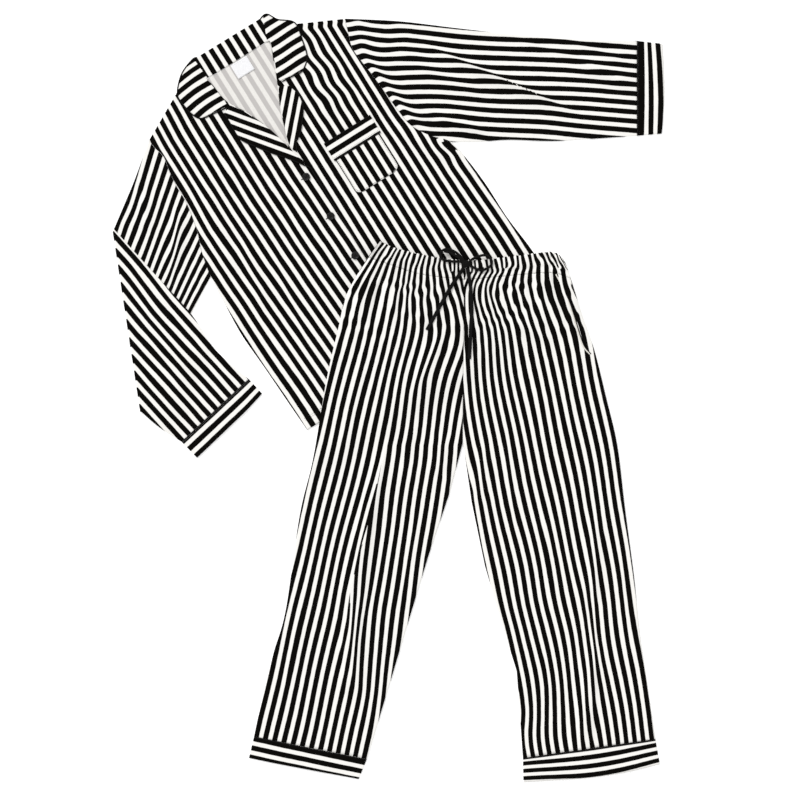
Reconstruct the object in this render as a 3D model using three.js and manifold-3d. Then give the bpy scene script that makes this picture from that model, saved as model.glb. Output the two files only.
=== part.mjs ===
// A striped pyjama set laid out flat: a notched-collar shirt, turned on the surface with one sleeve spread
// and one folded over, and drawstring trousers that lie over the lower part of the shirt.
// Millimetres, +Z up, the surface at z = 0, the middle of the set at the origin.
// "Right" and "left" are the wearer's, so the right front lies on the -X side.

import * as THREE from 'three';
import { mergeVertices } from 'three/addons/utils/BufferGeometryUtils.js';
import Module from 'manifold-3d';

// Cloth
const WALL = 1.2;
const AIR = 0.4;
const LAYER = WALL + AIR;
const FLAT_TUBE = WALL + LAYER;
const SEAM_GAP = 0.3;

// Trim
const PIPING_RADIUS = 1.2;
const PIPING_SIDES = 8;
const BUTTON_RADIUS = 7.7;
const BUTTON_HEIGHT = 2.8;
const BUTTON_RIM = 1.7;
const BUTTON_PITCH = 90.3;
const BUTTON_SIDES = 16;
const BUTTON_TOP_Y = -16.6;
const BUTTON_X = -14.4;
const BUTTON_COUNT = 3;
const TAPE_WIDTH = 7;
const TAPE_THICKNESS = 2;

// Shirt, in its own frame: x across the body, y up the body, the front edge's top at the origin
const SHIRT_PLACE = { x: -157, y: 454.9, turn: THREE.MathUtils.degToRad(32) };
const HEM_Y = -436;
const SIDE_X = { right: -276, left: 282 };
const PLACKET = 28;
const PLACKET_RAMP = 16;
const NECK_Y = 247.6;

// Bends of the cloth: a soft ridge along a line, "width" its half width and "rise" its height
const SHIRT_FOLDS = [
  { from: [-203, 76], to: [-225, -103], width: 18, rise: 4.5 },
  { from: [-190, -60], to: [-215, -190], width: 16, rise: 3 },
  { from: [105, 150], to: [84, 53], width: 15, rise: 3 },
  { from: [190, -20], to: [236, -140], width: 15, rise: 4 },
  { from: [-60, -60], to: [-75, -200], width: 22, rise: 2 },
];
const LEFT_SLEEVE_FOLDS = [
  { from: [330, 65], to: [480, -160], width: 18, rise: 6 },
  { from: [550, -102], to: [617, -197], width: 15, rise: 4.5 },
  { from: [262, -50], to: [330, -128], width: 13, rise: 5 },
  { from: [290, 60], to: [360, -60], width: 20, rise: 3 },
];
const RIGHT_SLEEVE_FOLDS = [
  { from: [-258, 66], to: [-318, -30], width: 14, rise: 4 },
  { from: [-300, 120], to: [-330, 60], width: 16, rise: 2.5 },
];
const FOREARM_FOLDS = [
  { from: [-420, -40], to: [-410, -230], width: 20, rise: 4 },
  { from: [-480, -170], to: [-455, -300], width: 16, rise: 3 },
  { from: [-375, -180], to: [-350, -275], width: 12, rise: 2.5 },
];
const TROUSER_FOLDS = [
  { from: [114, 141], to: [52, 20], width: 16, rise: 4.5 },
  { from: [243, 159], to: [319, 110], width: 14, rise: 3 },
  { from: [-7, -89], to: [-75, -391], width: 18, rise: 4 },
  { from: [-75, -391], to: [-59, -567], width: 18, rise: 4 },
  { from: [401, -220], to: [401, -391], width: 17, rise: 4 },
  { from: [395, -500], to: [372, -690], width: 17, rise: 4.5 },
  { from: [105, -70], to: [98, -150], width: 14, rise: 3.5 },
  { from: [185, -90], to: [176, -200], width: 14, rise: 3 },
  { from: [335, 240], to: [389, 96], width: 9, rise: 2.5 },
];

// Outlines of the shirt, one row for each section from the hem up: the outer edge and the front or roll edge
const ARMHOLE_LEFT = [
  [261, -108], [233, -76], [212, -40], [206, 0], [203, 45],
  [200, 85], [196, 120], [195, 150], [204, 179], [213, 205],
];
const ARMHOLE_RIGHT = [
  [-275, -83], [-264, -33], [-249, 11], [-239, 62], [-238, 103],
  [-234, 137], [-229, 164], [-234, 186], [-237, 206],
];
const SIDE_ROWS = [
  { y: HEM_Y, right: -274, left: 282 },
  { y: -370, right: -277, left: 283 },
  { y: -290, right: -280, left: 276 },
  { y: -215, right: -284, left: 275 },
  { y: -155, right: -281, left: 270 },
];
const ROLL_RIGHT = [
  [0, -70], [0, -35], [0, 0], [-13, 51], [-25, 100], [-45, 150], [-68, 192], [-77, 244], [-102, 277],
];
const ROLL_LEFT = [
  [-PLACKET, -120], [-PLACKET, -80], [-PLACKET, -40], [-PLACKET, 5], [-12, 53],
  [2, 92], [14, 125], [39, 178], [64, 236], [92, 264],
];
const LAPEL_RIGHT_ROWS = [
  { roll: [-1.5, 6], edge: [-4.5, 8] },
  { roll: [-8, 31], edge: [-23, 33] },
  { roll: [-16, 65], edge: [-40, 54] },
  { roll: [-25, 100], edge: [-62, 84] },
  { roll: [-41, 138], edge: [-82, 115] },
  { roll: [-55, 166], edge: [-83, 145] },
  { roll: [-66, 181], edge: [-82, 172] },
];
const LAPEL_LEFT_ROWS = [
  { roll: [-8, 60], edge: [3, 52] },
  { roll: [-2, 80], edge: [16, 60] },
  { roll: [6, 100], edge: [31, 75] },
  { roll: [15, 125], edge: [53, 105] },
  { roll: [23, 142], edge: [57, 130] },
  { roll: [33, 162], edge: [51, 151] },
];
// The collar from the right leaf's end round the neck to the left leaf's end; "under" and "over" are heights
const LEAF_UNDER = 2 * LAYER;
const LEAF_OVER = LEAF_UNDER + WALL;
const COLLAR_ROWS = [
  { inner: [-71, 183], outer: [-125, 191], under: LEAF_UNDER, over: LEAF_OVER },
  { inner: [-70, 195], outer: [-135, 206], under: LEAF_UNDER, over: LEAF_OVER },
  { inner: [-74, 222], outer: [-140, 232], under: LEAF_UNDER, over: LEAF_OVER },
  { inner: [-77, 243], outer: [-138, 252], under: LEAF_UNDER, over: LEAF_OVER },
  { inner: [-77.5, 248], outer: [-111, 279], under: LEAF_UNDER, over: LEAF_OVER },
  { inner: [-77, 249.5], outer: [-80, 292.5], under: LEAF_UNDER, over: LEAF_OVER },
  { inner: [-68, NECK_Y + 1], outer: [-68, 292], under: AIR, over: FLAT_TUBE },
  { inner: [-30, NECK_Y + 0.4], outer: [-30, 292], under: 0, over: FLAT_TUBE },
  { inner: [20, NECK_Y + 0.4], outer: [20, 291], under: 0, over: FLAT_TUBE },
  { inner: [55, NECK_Y + 1], outer: [73, 291], under: AIR, over: FLAT_TUBE },
  { inner: [64, 247], outer: [83, 290.5], under: LEAF_UNDER, over: LEAF_OVER },
  { inner: [66, 245], outer: [98, 271], under: LEAF_UNDER, over: LEAF_OVER },
  { inner: [65, 240], outer: [123, 248], under: LEAF_UNDER, over: LEAF_OVER },
  { inner: [52, 205], outer: [117, 212], under: LEAF_UNDER, over: LEAF_OVER },
  { inner: [41, 179], outer: [108, 182], under: LEAF_UNDER, over: LEAF_OVER },
  { inner: [42, 169], outer: [87, 166], under: LEAF_UNDER, over: LEAF_OVER },
];
const FRONT_PIPING_ROUTE = [
  [-84, 173], [-84.8, 145], [-84.2, 114], [-63.5, 81.5], [-41, 51], [-24, 30.5], [-6, 5], [1.6, -6], [1.6, -24],
  [1.6, -60], [1.6, -200], [1.6, HEM_Y],
];
const FRONT_PIPING_STEP_Y = -12;
const COLLAR_PIPING_ROUTE = [
  [-73, 179.8], [-100, 183.3], [-127, 188], [-138.4, 205], [-143.2, 232], [-141.3, 254], [-113.5, 282.3],
  [-79, 295.4], [-60, 294.7], [0, 294.2], [70, 293.6], [88.7, 293], [101, 273.3], [126.2, 249.7], [120.4, 212],
  [111.3, 181], [89, 162.6], [66, 164], [45, 165.6],
];
const LABEL = { left: -25, right: 12, top: 246, bottom: 215, thickness: 0.8 };
const POCKET = { left: 52, right: 150, top: -20.2, bottom: -99.5, corner: 14 };
const POCKET_BAND = { left: 49, right: 155, top: 19.5, bottom: -19.8 };

// Left sleeve, spread out: its upper and lower edges from the shoulder to the cuff's seam
const LEFT_SLEEVE_TOP = [[213, 205], [300, 145], [386, 76], [458, 19], [549, -49], [673, -133]];
const LEFT_SLEEVE_LOW = [[261, -108], [310, -138], [360, -165], [429, -211], [500, -250], [575, -290]];
const LEFT_CUFF_END = [[712, -164], [690, -204], [662, -251], [637, -287], [618, -312]];

// Right sleeve: the upper arm runs to an oblique fold, and the forearm comes back over it
const RIGHT_UPPER_TOP = [[-237, 206], [-270, 180], [-305, 153], [-346, 124], [-386, 96]];
const RIGHT_UPPER_LOW = [[-275, -83], [-346, -124], [-400, -156], [-465, -196], [-529, -235]];
const RIGHT_FOREARM_TOP = [[-386, 96], [-366, -15], [-346, -124], [-343, -208], [-318, -291]];
const RIGHT_FOREARM_LOW = [[-529, -235], [-521, -263], [-511, -290], [-502, -309], [-494, -325]];
const RIGHT_CUFF_END = [[-311, -329], [-355, -341], [-398, -350], [-441, -359], [-485, -368]];
const RIGHT_BEND_CENTRE = FLAT_TUBE + AIR / 2;
const BEND_STEPS = 4;
const UPPER_ARM_ROWS = 5;
const FOREARM_ROWS = 8;
// The forearm steps down to the surface this far past the upper arm's lower edge
const FOREARM_STEP = { start: 35, end: 85 };

// Trousers, in the set's frame: one row for each section of the outer and inner edges, waist to hem
const WAIST_TOP = [[-17, 308], [19, 294], [73, 281], [143, 272], [204, 275], [260, 282], [319, 288], [342, 273]];
const WAIST_SEAM = [[-40, 276], [5, 261], [64, 243], [147, 234], [210, 238], [265, 243], [318, 246], [355, 235]];
const CENTRE_WAIST = [147, 234];
const RIGHT_OUTER = [
  [-40, 276], [-81, 205], [-98, 137], [-121, 36], [-147, -116], [-173, -226], [-200, -409], [-223, -491],
  [-241, -559], [-262, -657],
];
const RIGHT_INNER = [
  [147, 234], [147, 150], [146, 70], [145, -10], [144.7, -85], [120, -180], [78, -305], [38, -436],
  [11, -526], [-42, -701],
];
const LEFT_OUTER = [
  [355, 235], [375, 172], [401, 96], [425, 0], [446, -91], [461, -214], [478, -343], [489, -450],
  [500, -526], [520, -662],
];
const LEFT_INNER = [
  [147, 234], [147, 150], [146, 70], [145, -10], [145.3, -85], [162, -200], [188, -325], [220, -435],
  [250, -530], [262, -699],
];
const RIGHT_HEM_END = [[-272, -699], [-218, -710], [-165, -720], [-112, -730], [-58, -740]];
const LEFT_HEM_END = [[529, -711], [462, -727], [396, -737], [330, -742], [263, -746]];
const LEG_ROWS = 15;
const GATHERS_PER_LEG = 9;
const GATHER_RISE = 3.2;
const GATHER_FADE = 110;
const WAIST_WAVES = 34;
const WAIST_WAVE_RISE = 1.8;
// Height of the shirt that the trousers lie on, and how far past its edges they come down to the surface
const SHIRT_TOP = 2 * WALL + AIR;
const PLACKET_RIDGE = { rise: 3, centre: -8, flat: 55, end: 110 };
const TROUSER_STEP = { start: 45, end: 105 };
const TROUSER_AIR = 1.4;

// Drawstring: heights are above the cloth that it lies on
const KNOT = { x: 151, y: 263, radius: 9, height: 4, lift: -0.7 };
const LOOP_ROUTES = [
  [[148, 266], [130, 280], [108, 291], [97, 280], [112, 270], [133, 263], [148, 262]],
  [[154, 266], [172, 273], [192, 274], [198, 262], [184, 254], [168, 257], [154, 262]],
];
const SHORT_TAIL = [[146, 256], [136, 240], [124, 223], [110, 199], [92, 166], [75, 135]];
const LONG_TAIL = [[153, 255], [157, 234], [160, 213], [162, 174], [160, 140], [159, 110], [157, 79]];
const TAIL_LIFT = 1.7;

const stripedCloth = new THREE.MeshStandardMaterial({ color: '#8b8884', roughness: 0.85, metalness: 0 });
const crossCloth = new THREE.MeshStandardMaterial({ color: '#7c7975', roughness: 0.85, metalness: 0 });
const blackTrim = new THREE.MeshStandardMaterial({ color: '#16130f', roughness: 0.7, metalness: 0 });
const blackButton = new THREE.MeshStandardMaterial({ color: '#14120f', roughness: 0.35, metalness: 0 });
const labelCloth = new THREE.MeshStandardMaterial({ color: '#f6f5f2', roughness: 0.7, metalness: 0 });

const wasm = await Module();
wasm.setup();

const smooth = THREE.MathUtils.smoothstep;
const lerp = THREE.MathUtils.lerp;

// Equal steps from 0 to 1
function steps(count) {
  return Array.from({ length: count + 1 }, (_, i) => i / count);
}

// A smooth curve through the points, which lie at equal steps of its parameter
function curve(points) {
  const spline = new THREE.SplineCurve(points.map(([x, y]) => new THREE.Vector2(x, y)));
  return (t) => spline.getPoint(t);
}

// Straight stretches between the points, at equal steps of its parameter
function polyline(points) {
  return (t) => {
    const place = Math.min(t * (points.length - 1), points.length - 1.000001);
    const i = Math.floor(place);
    return new THREE.Vector2(...points[i]).lerp(new THREE.Vector2(...points[i + 1]), place - i);
  };
}

// The surface between four edges: u runs along "start" and "end", v along "low" and "high"
function between(start, end, low, high) {
  const [s, e, l, h] = [start, end, low, high].map((edge) => (Array.isArray(edge) ? curve(edge) : edge));
  return (u, v) => {
    const across = s(u).multiplyScalar(1 - v).addScaledVector(e(u), v);
    const along = l(v).multiplyScalar(1 - u).addScaledVector(h(v), u);
    const corners = s(0).multiplyScalar((1 - u) * (1 - v)).addScaledVector(s(1), u * (1 - v));
    corners.addScaledVector(e(0), (1 - u) * v).addScaledVector(e(1), u * v);
    return across.add(along).sub(corners);
  };
}

// Straight rows between the points of two lists of the same length
function ruled(firstEdge, secondEdge) {
  const first = curve(firstEdge);
  const second = curve(secondEdge);
  return (u, v) => first(v).lerp(second(v), u);
}

// Height of the soft ridges at a point: highest on the line, gone a few widths away and at its ends
function foldRise(folds, x, y) {
  let rise = 0;
  for (const fold of folds) {
    const dx = fold.to[0] - fold.from[0];
    const dy = fold.to[1] - fold.from[1];
    const length = Math.hypot(dx, dy);
    const t = ((x - fold.from[0]) * dx + (y - fold.from[1]) * dy) / length ** 2;
    const away = ((x - fold.from[0]) * dy - (y - fold.from[1]) * dx) / length;
    const ends = smooth(t, -0.1, 0.25) * (1 - smooth(t, 0.75, 1.1));
    rise += fold.rise * ends * Math.exp(-((away / fold.width) ** 2));
  }
  return rise;
}

// Makes the mesh of an indexed surface, its faces turned outwards
function closedMesh(name, look, points, triangles) {
  let volume = 0;
  for (const [a, b, c] of triangles) {
    volume += points[a].dot(new THREE.Vector3().crossVectors(points[b], points[c]));
  }
  const turned = volume < 0 ? triangles.map(([a, b, c]) => [a, c, b]) : triangles;
  const geometry = new THREE.BufferGeometry().setFromPoints(points);
  geometry.setIndex(turned.flat());
  geometry.computeVertexNormals();
  const mesh = new THREE.Mesh(geometry, look);
  mesh.name = name;
  return mesh;
}

// Joins a list of rings of equal length into a band of triangles; rings are index offsets
function bandTriangles(triangles, first, second, count) {
  for (let i = 0; i < count; i += 1) {
    const next = (i + 1) % count;
    triangles.push([first + i, second + i, second + next], [first + i, second + next, first + next]);
  }
}

// A single layer of cloth: "plan" gives its place, "under" and "over" the heights of its two faces
function clothPanel(name, look, { columns, rows, plan, under, over }) {
  const points = [];
  for (const v of rows) {
    const low = [];
    const high = [];
    for (const u of columns) {
      const { x, y } = plan(u, v);
      low.push(new THREE.Vector3(x, y, under(x, y, u, v)));
      high.push(new THREE.Vector3(x, y, over(x, y, u, v)));
    }
    points.push(...low, ...high.reverse());
  }
  const ring = 2 * columns.length;
  const triangles = [];
  for (let row = 0; row + 1 < rows.length; row += 1) {
    bandTriangles(triangles, row * ring, (row + 1) * ring, ring);
  }
  const last = (rows.length - 1) * ring;
  for (let i = 0; i + 1 < columns.length; i += 1) {
    const top = ring - 1 - i;
    triangles.push([i, i + 1, top - 1], [i, top - 1, top]);
    triangles.push([last + i, last + top - 1, last + i + 1], [last + i, last + top, last + top - 1]);
  }
  return closedMesh(name, look, points, triangles);
}

// A tube of cloth pressed flat, open at both ends: "place" gives the point at a height over the plan,
// "under" and "over" the heights of its outer faces, and "inset" the wall as a share of the width
function clothTube(name, look, { columns, rows, place, under, over, inset }) {
  const outer = [];
  const inner = [];
  for (const v of rows) {
    const ring = (margin, wall) => {
      const column = (u) => lerp(margin, 1 - margin, u);
      const low = columns.map((u) => place(column(u), v, under(u, v) + wall));
      const high = columns.map((u) => place(column(u), v, over(u, v) - wall));
      const side = (u) => place(u, v, (under(u, v) + over(u, v)) / 2);
      return [...low, side(1 - wall * inset), ...high.reverse(), side(wall * inset)];
    };
    outer.push(ring(inset / 2, 0));
    inner.push(ring(inset * 1.4, WALL));
  }
  const ring = outer[0].length;
  const points = [...outer.flat(), ...inner.flat()];
  const shift = outer.length * ring;
  const triangles = [];
  for (let row = 0; row + 1 < rows.length; row += 1) {
    bandTriangles(triangles, row * ring, (row + 1) * ring, ring);
    bandTriangles(triangles, shift + (row + 1) * ring, shift + row * ring, ring);
  }
  bandTriangles(triangles, shift, 0, ring);
  bandTriangles(triangles, (rows.length - 1) * ring, shift + (rows.length - 1) * ring, ring);
  return closedMesh(name, look, points, triangles);
}

// A cord or tape along a route of [x, y, z] points
function cord(name, look, route, width, thickness, stepCount, sides = PIPING_SIDES) {
  const section = new THREE.Shape();
  for (let i = 0; i < sides; i += 1) {
    const angle = ((i + 0.5) / sides) * 2 * Math.PI;
    const [x, y] = [(thickness / 2) * Math.cos(angle), (width / 2) * Math.sin(angle)];
    if (i === 0) section.moveTo(x, y);
    else section.lineTo(x, y);
  }
  const path = new THREE.CatmullRomCurve3(route.map((p) => new THREE.Vector3(...p)), false, 'centripetal');
  const geometry = new THREE.ExtrudeGeometry(section, { steps: stepCount, extrudePath: path });
  const mesh = new THREE.Mesh(geometry, look);
  mesh.name = name;
  return mesh;
}

// Solids joined by a boolean
function solidOf(mesh) {
  const bare = mesh.geometry.clone();
  bare.applyMatrix4(mesh.matrix);
  bare.deleteAttribute('normal');
  bare.deleteAttribute('uv');
  const merged = mergeVertices(bare, 1e-4);
  return new wasm.Manifold(new wasm.Mesh({
    numProp: 3,
    vertProperties: new Float32Array(merged.attributes.position.array),
    triVerts: new Uint32Array(merged.index.array),
  }));
}

function joined(name, look, meshes) {
  const whole = meshes.map(solidOf).reduce((sum, next) => sum.add(next)).getMesh();
  const geometry = new THREE.BufferGeometry();
  geometry.setAttribute('position', new THREE.BufferAttribute(new Float32Array(whole.vertProperties), 3));
  geometry.setIndex(new THREE.BufferAttribute(new Uint32Array(whole.triVerts), 1));
  geometry.computeVertexNormals();
  const mesh = new THREE.Mesh(geometry, look);
  mesh.name = name;
  return mesh;
}

// Heights on the shirt: the left front lies on the back, the right front steps over it at the placket
const leftFrontUnder = (x, y) => LAYER + foldRise(SHIRT_FOLDS, x, y);
const leftFrontOver = (x, y) => leftFrontUnder(x, y) + WALL;
const overlap = (x) => LAYER * smooth(x, -PLACKET - 2 * PLACKET_RAMP, -PLACKET - 6);
const rightFrontUnder = (x, y) => LAYER + overlap(x) + foldRise(SHIRT_FOLDS, x, y);
const rightFrontOver = (x, y) => rightFrontUnder(x, y) + WALL;

// The outer edges of both fronts and of the back, from the hem up to the shoulder's tip
const rightSide = [...SIDE_ROWS.map((row) => [row.right, row.y]), ...ARMHOLE_RIGHT];
const leftSide = [...SIDE_ROWS.map((row) => [row.left, row.y]), ...ARMHOLE_LEFT];
const rightEdge = [...SIDE_ROWS.map((row) => [0, row.y]), ...ROLL_RIGHT];
const leftEdge = [...SIDE_ROWS.map((row) => [-PLACKET, row.y]), ...ROLL_LEFT];

function shirtBack() {
  const neck = [[92, 264], [66, NECK_Y - AIR], [-80, NECK_Y - AIR], [-102, 277]];
  const outline = [...leftSide, ...neck, ...[...rightSide].reverse()];
  const shape = new THREE.Shape(outline.map(([x, y]) => new THREE.Vector2(x, y)));
  const geometry = new THREE.ExtrudeGeometry(shape, { depth: WALL, bevelEnabled: false });
  const mesh = new THREE.Mesh(geometry, stripedCloth);
  mesh.name = 'shirt_back';
  return mesh;
}

function shirtFronts() {
  const right = clothPanel('shirt_front_right', stripedCloth, {
    columns: [0, 0.12, 0.22, 0.32, 0.43, 0.54, 0.65, 0.75, 0.83, 0.89, 0.95, 1],
    rows: steps(rightSide.length - 1),
    plan: ruled(rightSide, rightEdge),
    under: rightFrontUnder,
    over: rightFrontOver,
  });
  const left = clothPanel('shirt_front_left', stripedCloth, {
    columns: steps(12),
    rows: steps(leftSide.length - 1),
    plan: ruled(leftSide, leftEdge),
    under: leftFrontUnder,
    over: leftFrontOver,
  });
  return [right, left];
}

function lapels() {
  return [
    ['lapel_right', LAPEL_RIGHT_ROWS, rightFrontOver],
    ['lapel_left', LAPEL_LEFT_ROWS, leftFrontOver],
  ].map(([name, table, base]) => clothPanel(name, stripedCloth, {
    columns: steps(4),
    rows: steps(table.length - 1),
    plan: ruled(table.map((row) => row.roll), table.map((row) => row.edge)),
    under: (x, y) => base(x, y) + 1.6 * AIR,
    over: (x, y) => base(x, y) + 1.6 * AIR + WALL,
  }));
}

function collar() {
  const inner = COLLAR_ROWS.map((row) => row.inner);
  const outer = COLLAR_ROWS.map((row) => row.outer);
  const height = (key, v) => COLLAR_ROWS[Math.round(v * (COLLAR_ROWS.length - 1))][key];
  return clothPanel('collar', stripedCloth, {
    columns: steps(4),
    rows: steps(COLLAR_ROWS.length - 1),
    plan: ruled(inner, outer),
    under: (x, y, u, v) => height('under', v),
    over: (x, y, u, v) => height('over', v) + (height('under', v) > WALL ? 0.8 * Math.sin(Math.PI * u) : 0),
  });
}

function neckLabel() {
  const { left, right, top, bottom, thickness } = LABEL;
  const geometry = new THREE.BoxGeometry(right - left, top - bottom, thickness);
  const mesh = new THREE.Mesh(geometry, labelCloth);
  mesh.name = 'neck_label';
  mesh.position.set((left + right) / 2, (top + bottom) / 2, WALL + SEAM_GAP + thickness / 2);
  return mesh;
}

// The pocket's rows run down to its bottom edge, whose corners are rounded
function chestPocket() {
  const { left, right, top, bottom, corner } = POCKET;
  const turns = [0, 30, 60, 90].map((angle) => THREE.MathUtils.degToRad(angle));
  const rows = [{ y: top, inset: 0 }, { y: (top + bottom + corner) / 2, inset: 0 }];
  for (const angle of turns) {
    rows.push({ y: bottom + corner * (1 - Math.sin(angle)), inset: corner * (1 - Math.cos(angle)) });
  }
  const body = clothPanel('chest_pocket', stripedCloth, {
    columns: steps(6),
    rows: steps(rows.length - 1),
    plan: ruled(rows.map((row) => [left + row.inset, row.y]), rows.map((row) => [right - row.inset, row.y])),
    under: (x, y) => leftFrontOver(x, y) + AIR,
    over: (x, y) => leftFrontOver(x, y) + AIR + WALL,
  });
  const band = clothPanel('pocket_band', crossCloth, {
    columns: steps(6),
    rows: steps(4),
    plan: ruled(
      [[POCKET_BAND.left, POCKET_BAND.top], [POCKET_BAND.left, POCKET_BAND.bottom]],
      [[POCKET_BAND.right, POCKET_BAND.top], [POCKET_BAND.right, POCKET_BAND.bottom]],
    ),
    under: (x, y) => leftFrontOver(x, y) + AIR,
    over: (x, y) => leftFrontOver(x, y) + AIR + 1.5 * WALL,
  });
  return [body, band];
}

// The band, its piping and the sleeve meet at the cuff's seam: each is cut from the same surface
function cuffParts(side, seam, end, base) {
  const plan = between(seam, end, [seam[0], end[0]], [seam.at(-1), end.at(-1)]);
  const place = (u, v, h) => {
    const { x, y } = plan(u, v);
    return new THREE.Vector3(x, y, h + base);
  };
  const length = Math.hypot(end[0][0] - seam[0][0], end[0][1] - seam[0][1]);
  const pipingEnd = (2 * PIPING_RADIUS + SEAM_GAP) / length;
  const flat = {
    columns: steps(8),
    place,
    under: () => 0,
    inset: WALL / 180,
  };
  const band = clothTube(`cuff_${side}`, crossCloth, {
    ...flat,
    rows: steps(3).map((v) => lerp(pipingEnd + SEAM_GAP / length, 1, v)),
    over: (u) => FLAT_TUBE + 1.2 * Math.sin(Math.PI * u),
  });
  const piping = clothTube(`cuff_piping_${side}`, blackTrim, {
    ...flat,
    rows: [SEAM_GAP / length, pipingEnd],
    over: (u) => FLAT_TUBE + 0.6 + 1.2 * Math.sin(Math.PI * u),
  });
  return [band, piping];
}

function leftSleeve() {
  const seam = [LEFT_SLEEVE_TOP.at(-1), LEFT_SLEEVE_LOW.at(-1)];
  const armhole = [...ARMHOLE_LEFT].reverse().map(([x, y]) => [x + SEAM_GAP, y + SEAM_GAP / 2]);
  const plan = between(armhole, seam, [armhole[0], ...LEFT_SLEEVE_TOP.slice(1)],
    [armhole.at(-1), ...LEFT_SLEEVE_LOW.slice(1)]);
  const sleeve = clothTube('sleeve_left', stripedCloth, {
    columns: steps(ARMHOLE_LEFT.length - 1),
    rows: steps(12),
    place: (u, v, h) => {
      const { x, y } = plan(u, v);
      return new THREE.Vector3(x, y, h);
    },
    under: () => 0,
    over: (u, v) => {
      const { x, y } = plan(u, v);
      return FLAT_TUBE + foldRise(LEFT_SLEEVE_FOLDS, x, y) * Math.sin(Math.PI * u) ** 0.5;
    },
    inset: WALL / 220,
  });
  return [sleeve, ...cuffParts('left', seam, LEFT_CUFF_END, 0)];
}

// The upper arm lies flat, a half turn about the fold line brings the sleeve back over itself, and the
// forearm steps down to the surface past the upper arm
function rightSleeve() {
  const armhole = [...ARMHOLE_RIGHT].reverse().map(([x, y]) => [x - SEAM_GAP - 0.1, y]);
  const fold = [RIGHT_UPPER_TOP.at(-1), RIGHT_UPPER_LOW.at(-1)];
  const seam = [RIGHT_FOREARM_TOP.at(-1), RIGHT_FOREARM_LOW.at(-1)];
  const upper = between(armhole, fold, [armhole[0], ...RIGHT_UPPER_TOP.slice(1)],
    [armhole.at(-1), ...RIGHT_UPPER_LOW.slice(1)]);
  const forearm = between(fold, seam, RIGHT_FOREARM_TOP, RIGHT_FOREARM_LOW);
  const along = new THREE.Vector2(fold[1][0] - fold[0][0], fold[1][1] - fold[0][1]).normalize();
  const outward = new THREE.Vector2(along.y, -along.x);
  const underArm = new THREE.Vector2(...RIGHT_UPPER_LOW[0]);
  const underArmLine = new THREE.Vector2(...RIGHT_UPPER_LOW.at(-1)).sub(underArm).normalize();
  const drop = ({ x, y }) => {
    const beyond = (x - underArm.x) * -underArmLine.y + (y - underArm.y) * underArmLine.x;
    return 2 * LAYER * smooth(beyond, FOREARM_STEP.start, FOREARM_STEP.end);
  };
  const last = UPPER_ARM_ROWS + BEND_STEPS + FOREARM_ROWS;
  const stage = (v) => {
    const row = Math.round(v * last);
    if (row <= UPPER_ARM_ROWS) return { plan: upper, at: row / UPPER_ARM_ROWS, turn: 0 };
    const bend = row - UPPER_ARM_ROWS;
    if (bend < BEND_STEPS) return { plan: upper, at: 1, turn: (Math.PI * bend) / BEND_STEPS };
    return { plan: forearm, at: (bend - BEND_STEPS) / FOREARM_ROWS, turn: Math.PI };
  };
  const sleeve = clothTube('sleeve_right', stripedCloth, {
    columns: steps(ARMHOLE_RIGHT.length - 1),
    rows: steps(last),
    place: (u, v, h) => {
      const { plan, at, turn } = stage(v);
      const point = plan(u, at);
      const radius = RIGHT_BEND_CENTRE - h;
      point.addScaledVector(outward, radius * Math.sin(turn));
      const down = turn === Math.PI ? drop(point) : 0;
      return new THREE.Vector3(point.x, point.y, RIGHT_BEND_CENTRE - radius * Math.cos(turn) - down);
    },
    under: (u, v) => {
      const { plan, at, turn } = stage(v);
      const { x, y } = plan(u, at);
      return turn === Math.PI ? -foldRise(FOREARM_FOLDS, x, y) * Math.sin(Math.PI * u) ** 0.5 : 0;
    },
    over: (u, v) => {
      const { plan, at, turn } = stage(v);
      const { x, y } = plan(u, at);
      return FLAT_TUBE + (turn === 0 ? foldRise(RIGHT_SLEEVE_FOLDS, x, y) * Math.sin(Math.PI * u) ** 0.5 : 0);
    },
    inset: WALL / 220,
  });
  return [sleeve, ...cuffParts('right', seam, RIGHT_CUFF_END, 0)];
}

function pipings() {
  const front = FRONT_PIPING_ROUTE.map(([x, y]) => {
    const base = y < FRONT_PIPING_STEP_Y ? leftFrontOver(x, y) : rightFrontOver(Math.min(x, 0), y);
    return [x, y, base + SEAM_GAP + 1.1 * PIPING_RADIUS];
  });
  const collarRoute = COLLAR_PIPING_ROUTE.map(([x, y]) => {
    const onStand = y > 292.5 && Math.abs(x) < 75;
    return [x, y, onStand ? 1.6 * PIPING_RADIUS : LEAF_UNDER + PIPING_RADIUS];
  });
  const size = 2 * PIPING_RADIUS;
  return [
    cord('front_piping', blackTrim, front, size, size, 34, 6),
    cord('collar_piping', blackTrim, collarRoute, size, size, 38, 6),
  ];
}

// A button is a disc with a raised rim round a shallow dish
function buttons() {
  const inner = BUTTON_RADIUS - BUTTON_RIM;
  const profile = [
    [0, 0], [BUTTON_RADIUS, 0.4], [BUTTON_RADIUS, BUTTON_HEIGHT - 0.6], [BUTTON_RADIUS - 0.6, BUTTON_HEIGHT],
    [inner, BUTTON_HEIGHT], [inner - 0.6, BUTTON_HEIGHT - 0.7], [0, BUTTON_HEIGHT - 0.7],
  ].map(([radius, height]) => new THREE.Vector2(radius, height));
  return Array.from({ length: BUTTON_COUNT }, (_, i) => {
    const y = BUTTON_TOP_Y - i * BUTTON_PITCH;
    const mesh = new THREE.Mesh(new THREE.LatheGeometry(profile, BUTTON_SIDES), blackButton);
    mesh.name = `button_${i + 1}`;
    mesh.rotation.x = Math.PI / 2;
    mesh.position.set(BUTTON_X, y, rightFrontOver(BUTTON_X, y) + 2.2 * SEAM_GAP);
    return mesh;
  });
}

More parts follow.
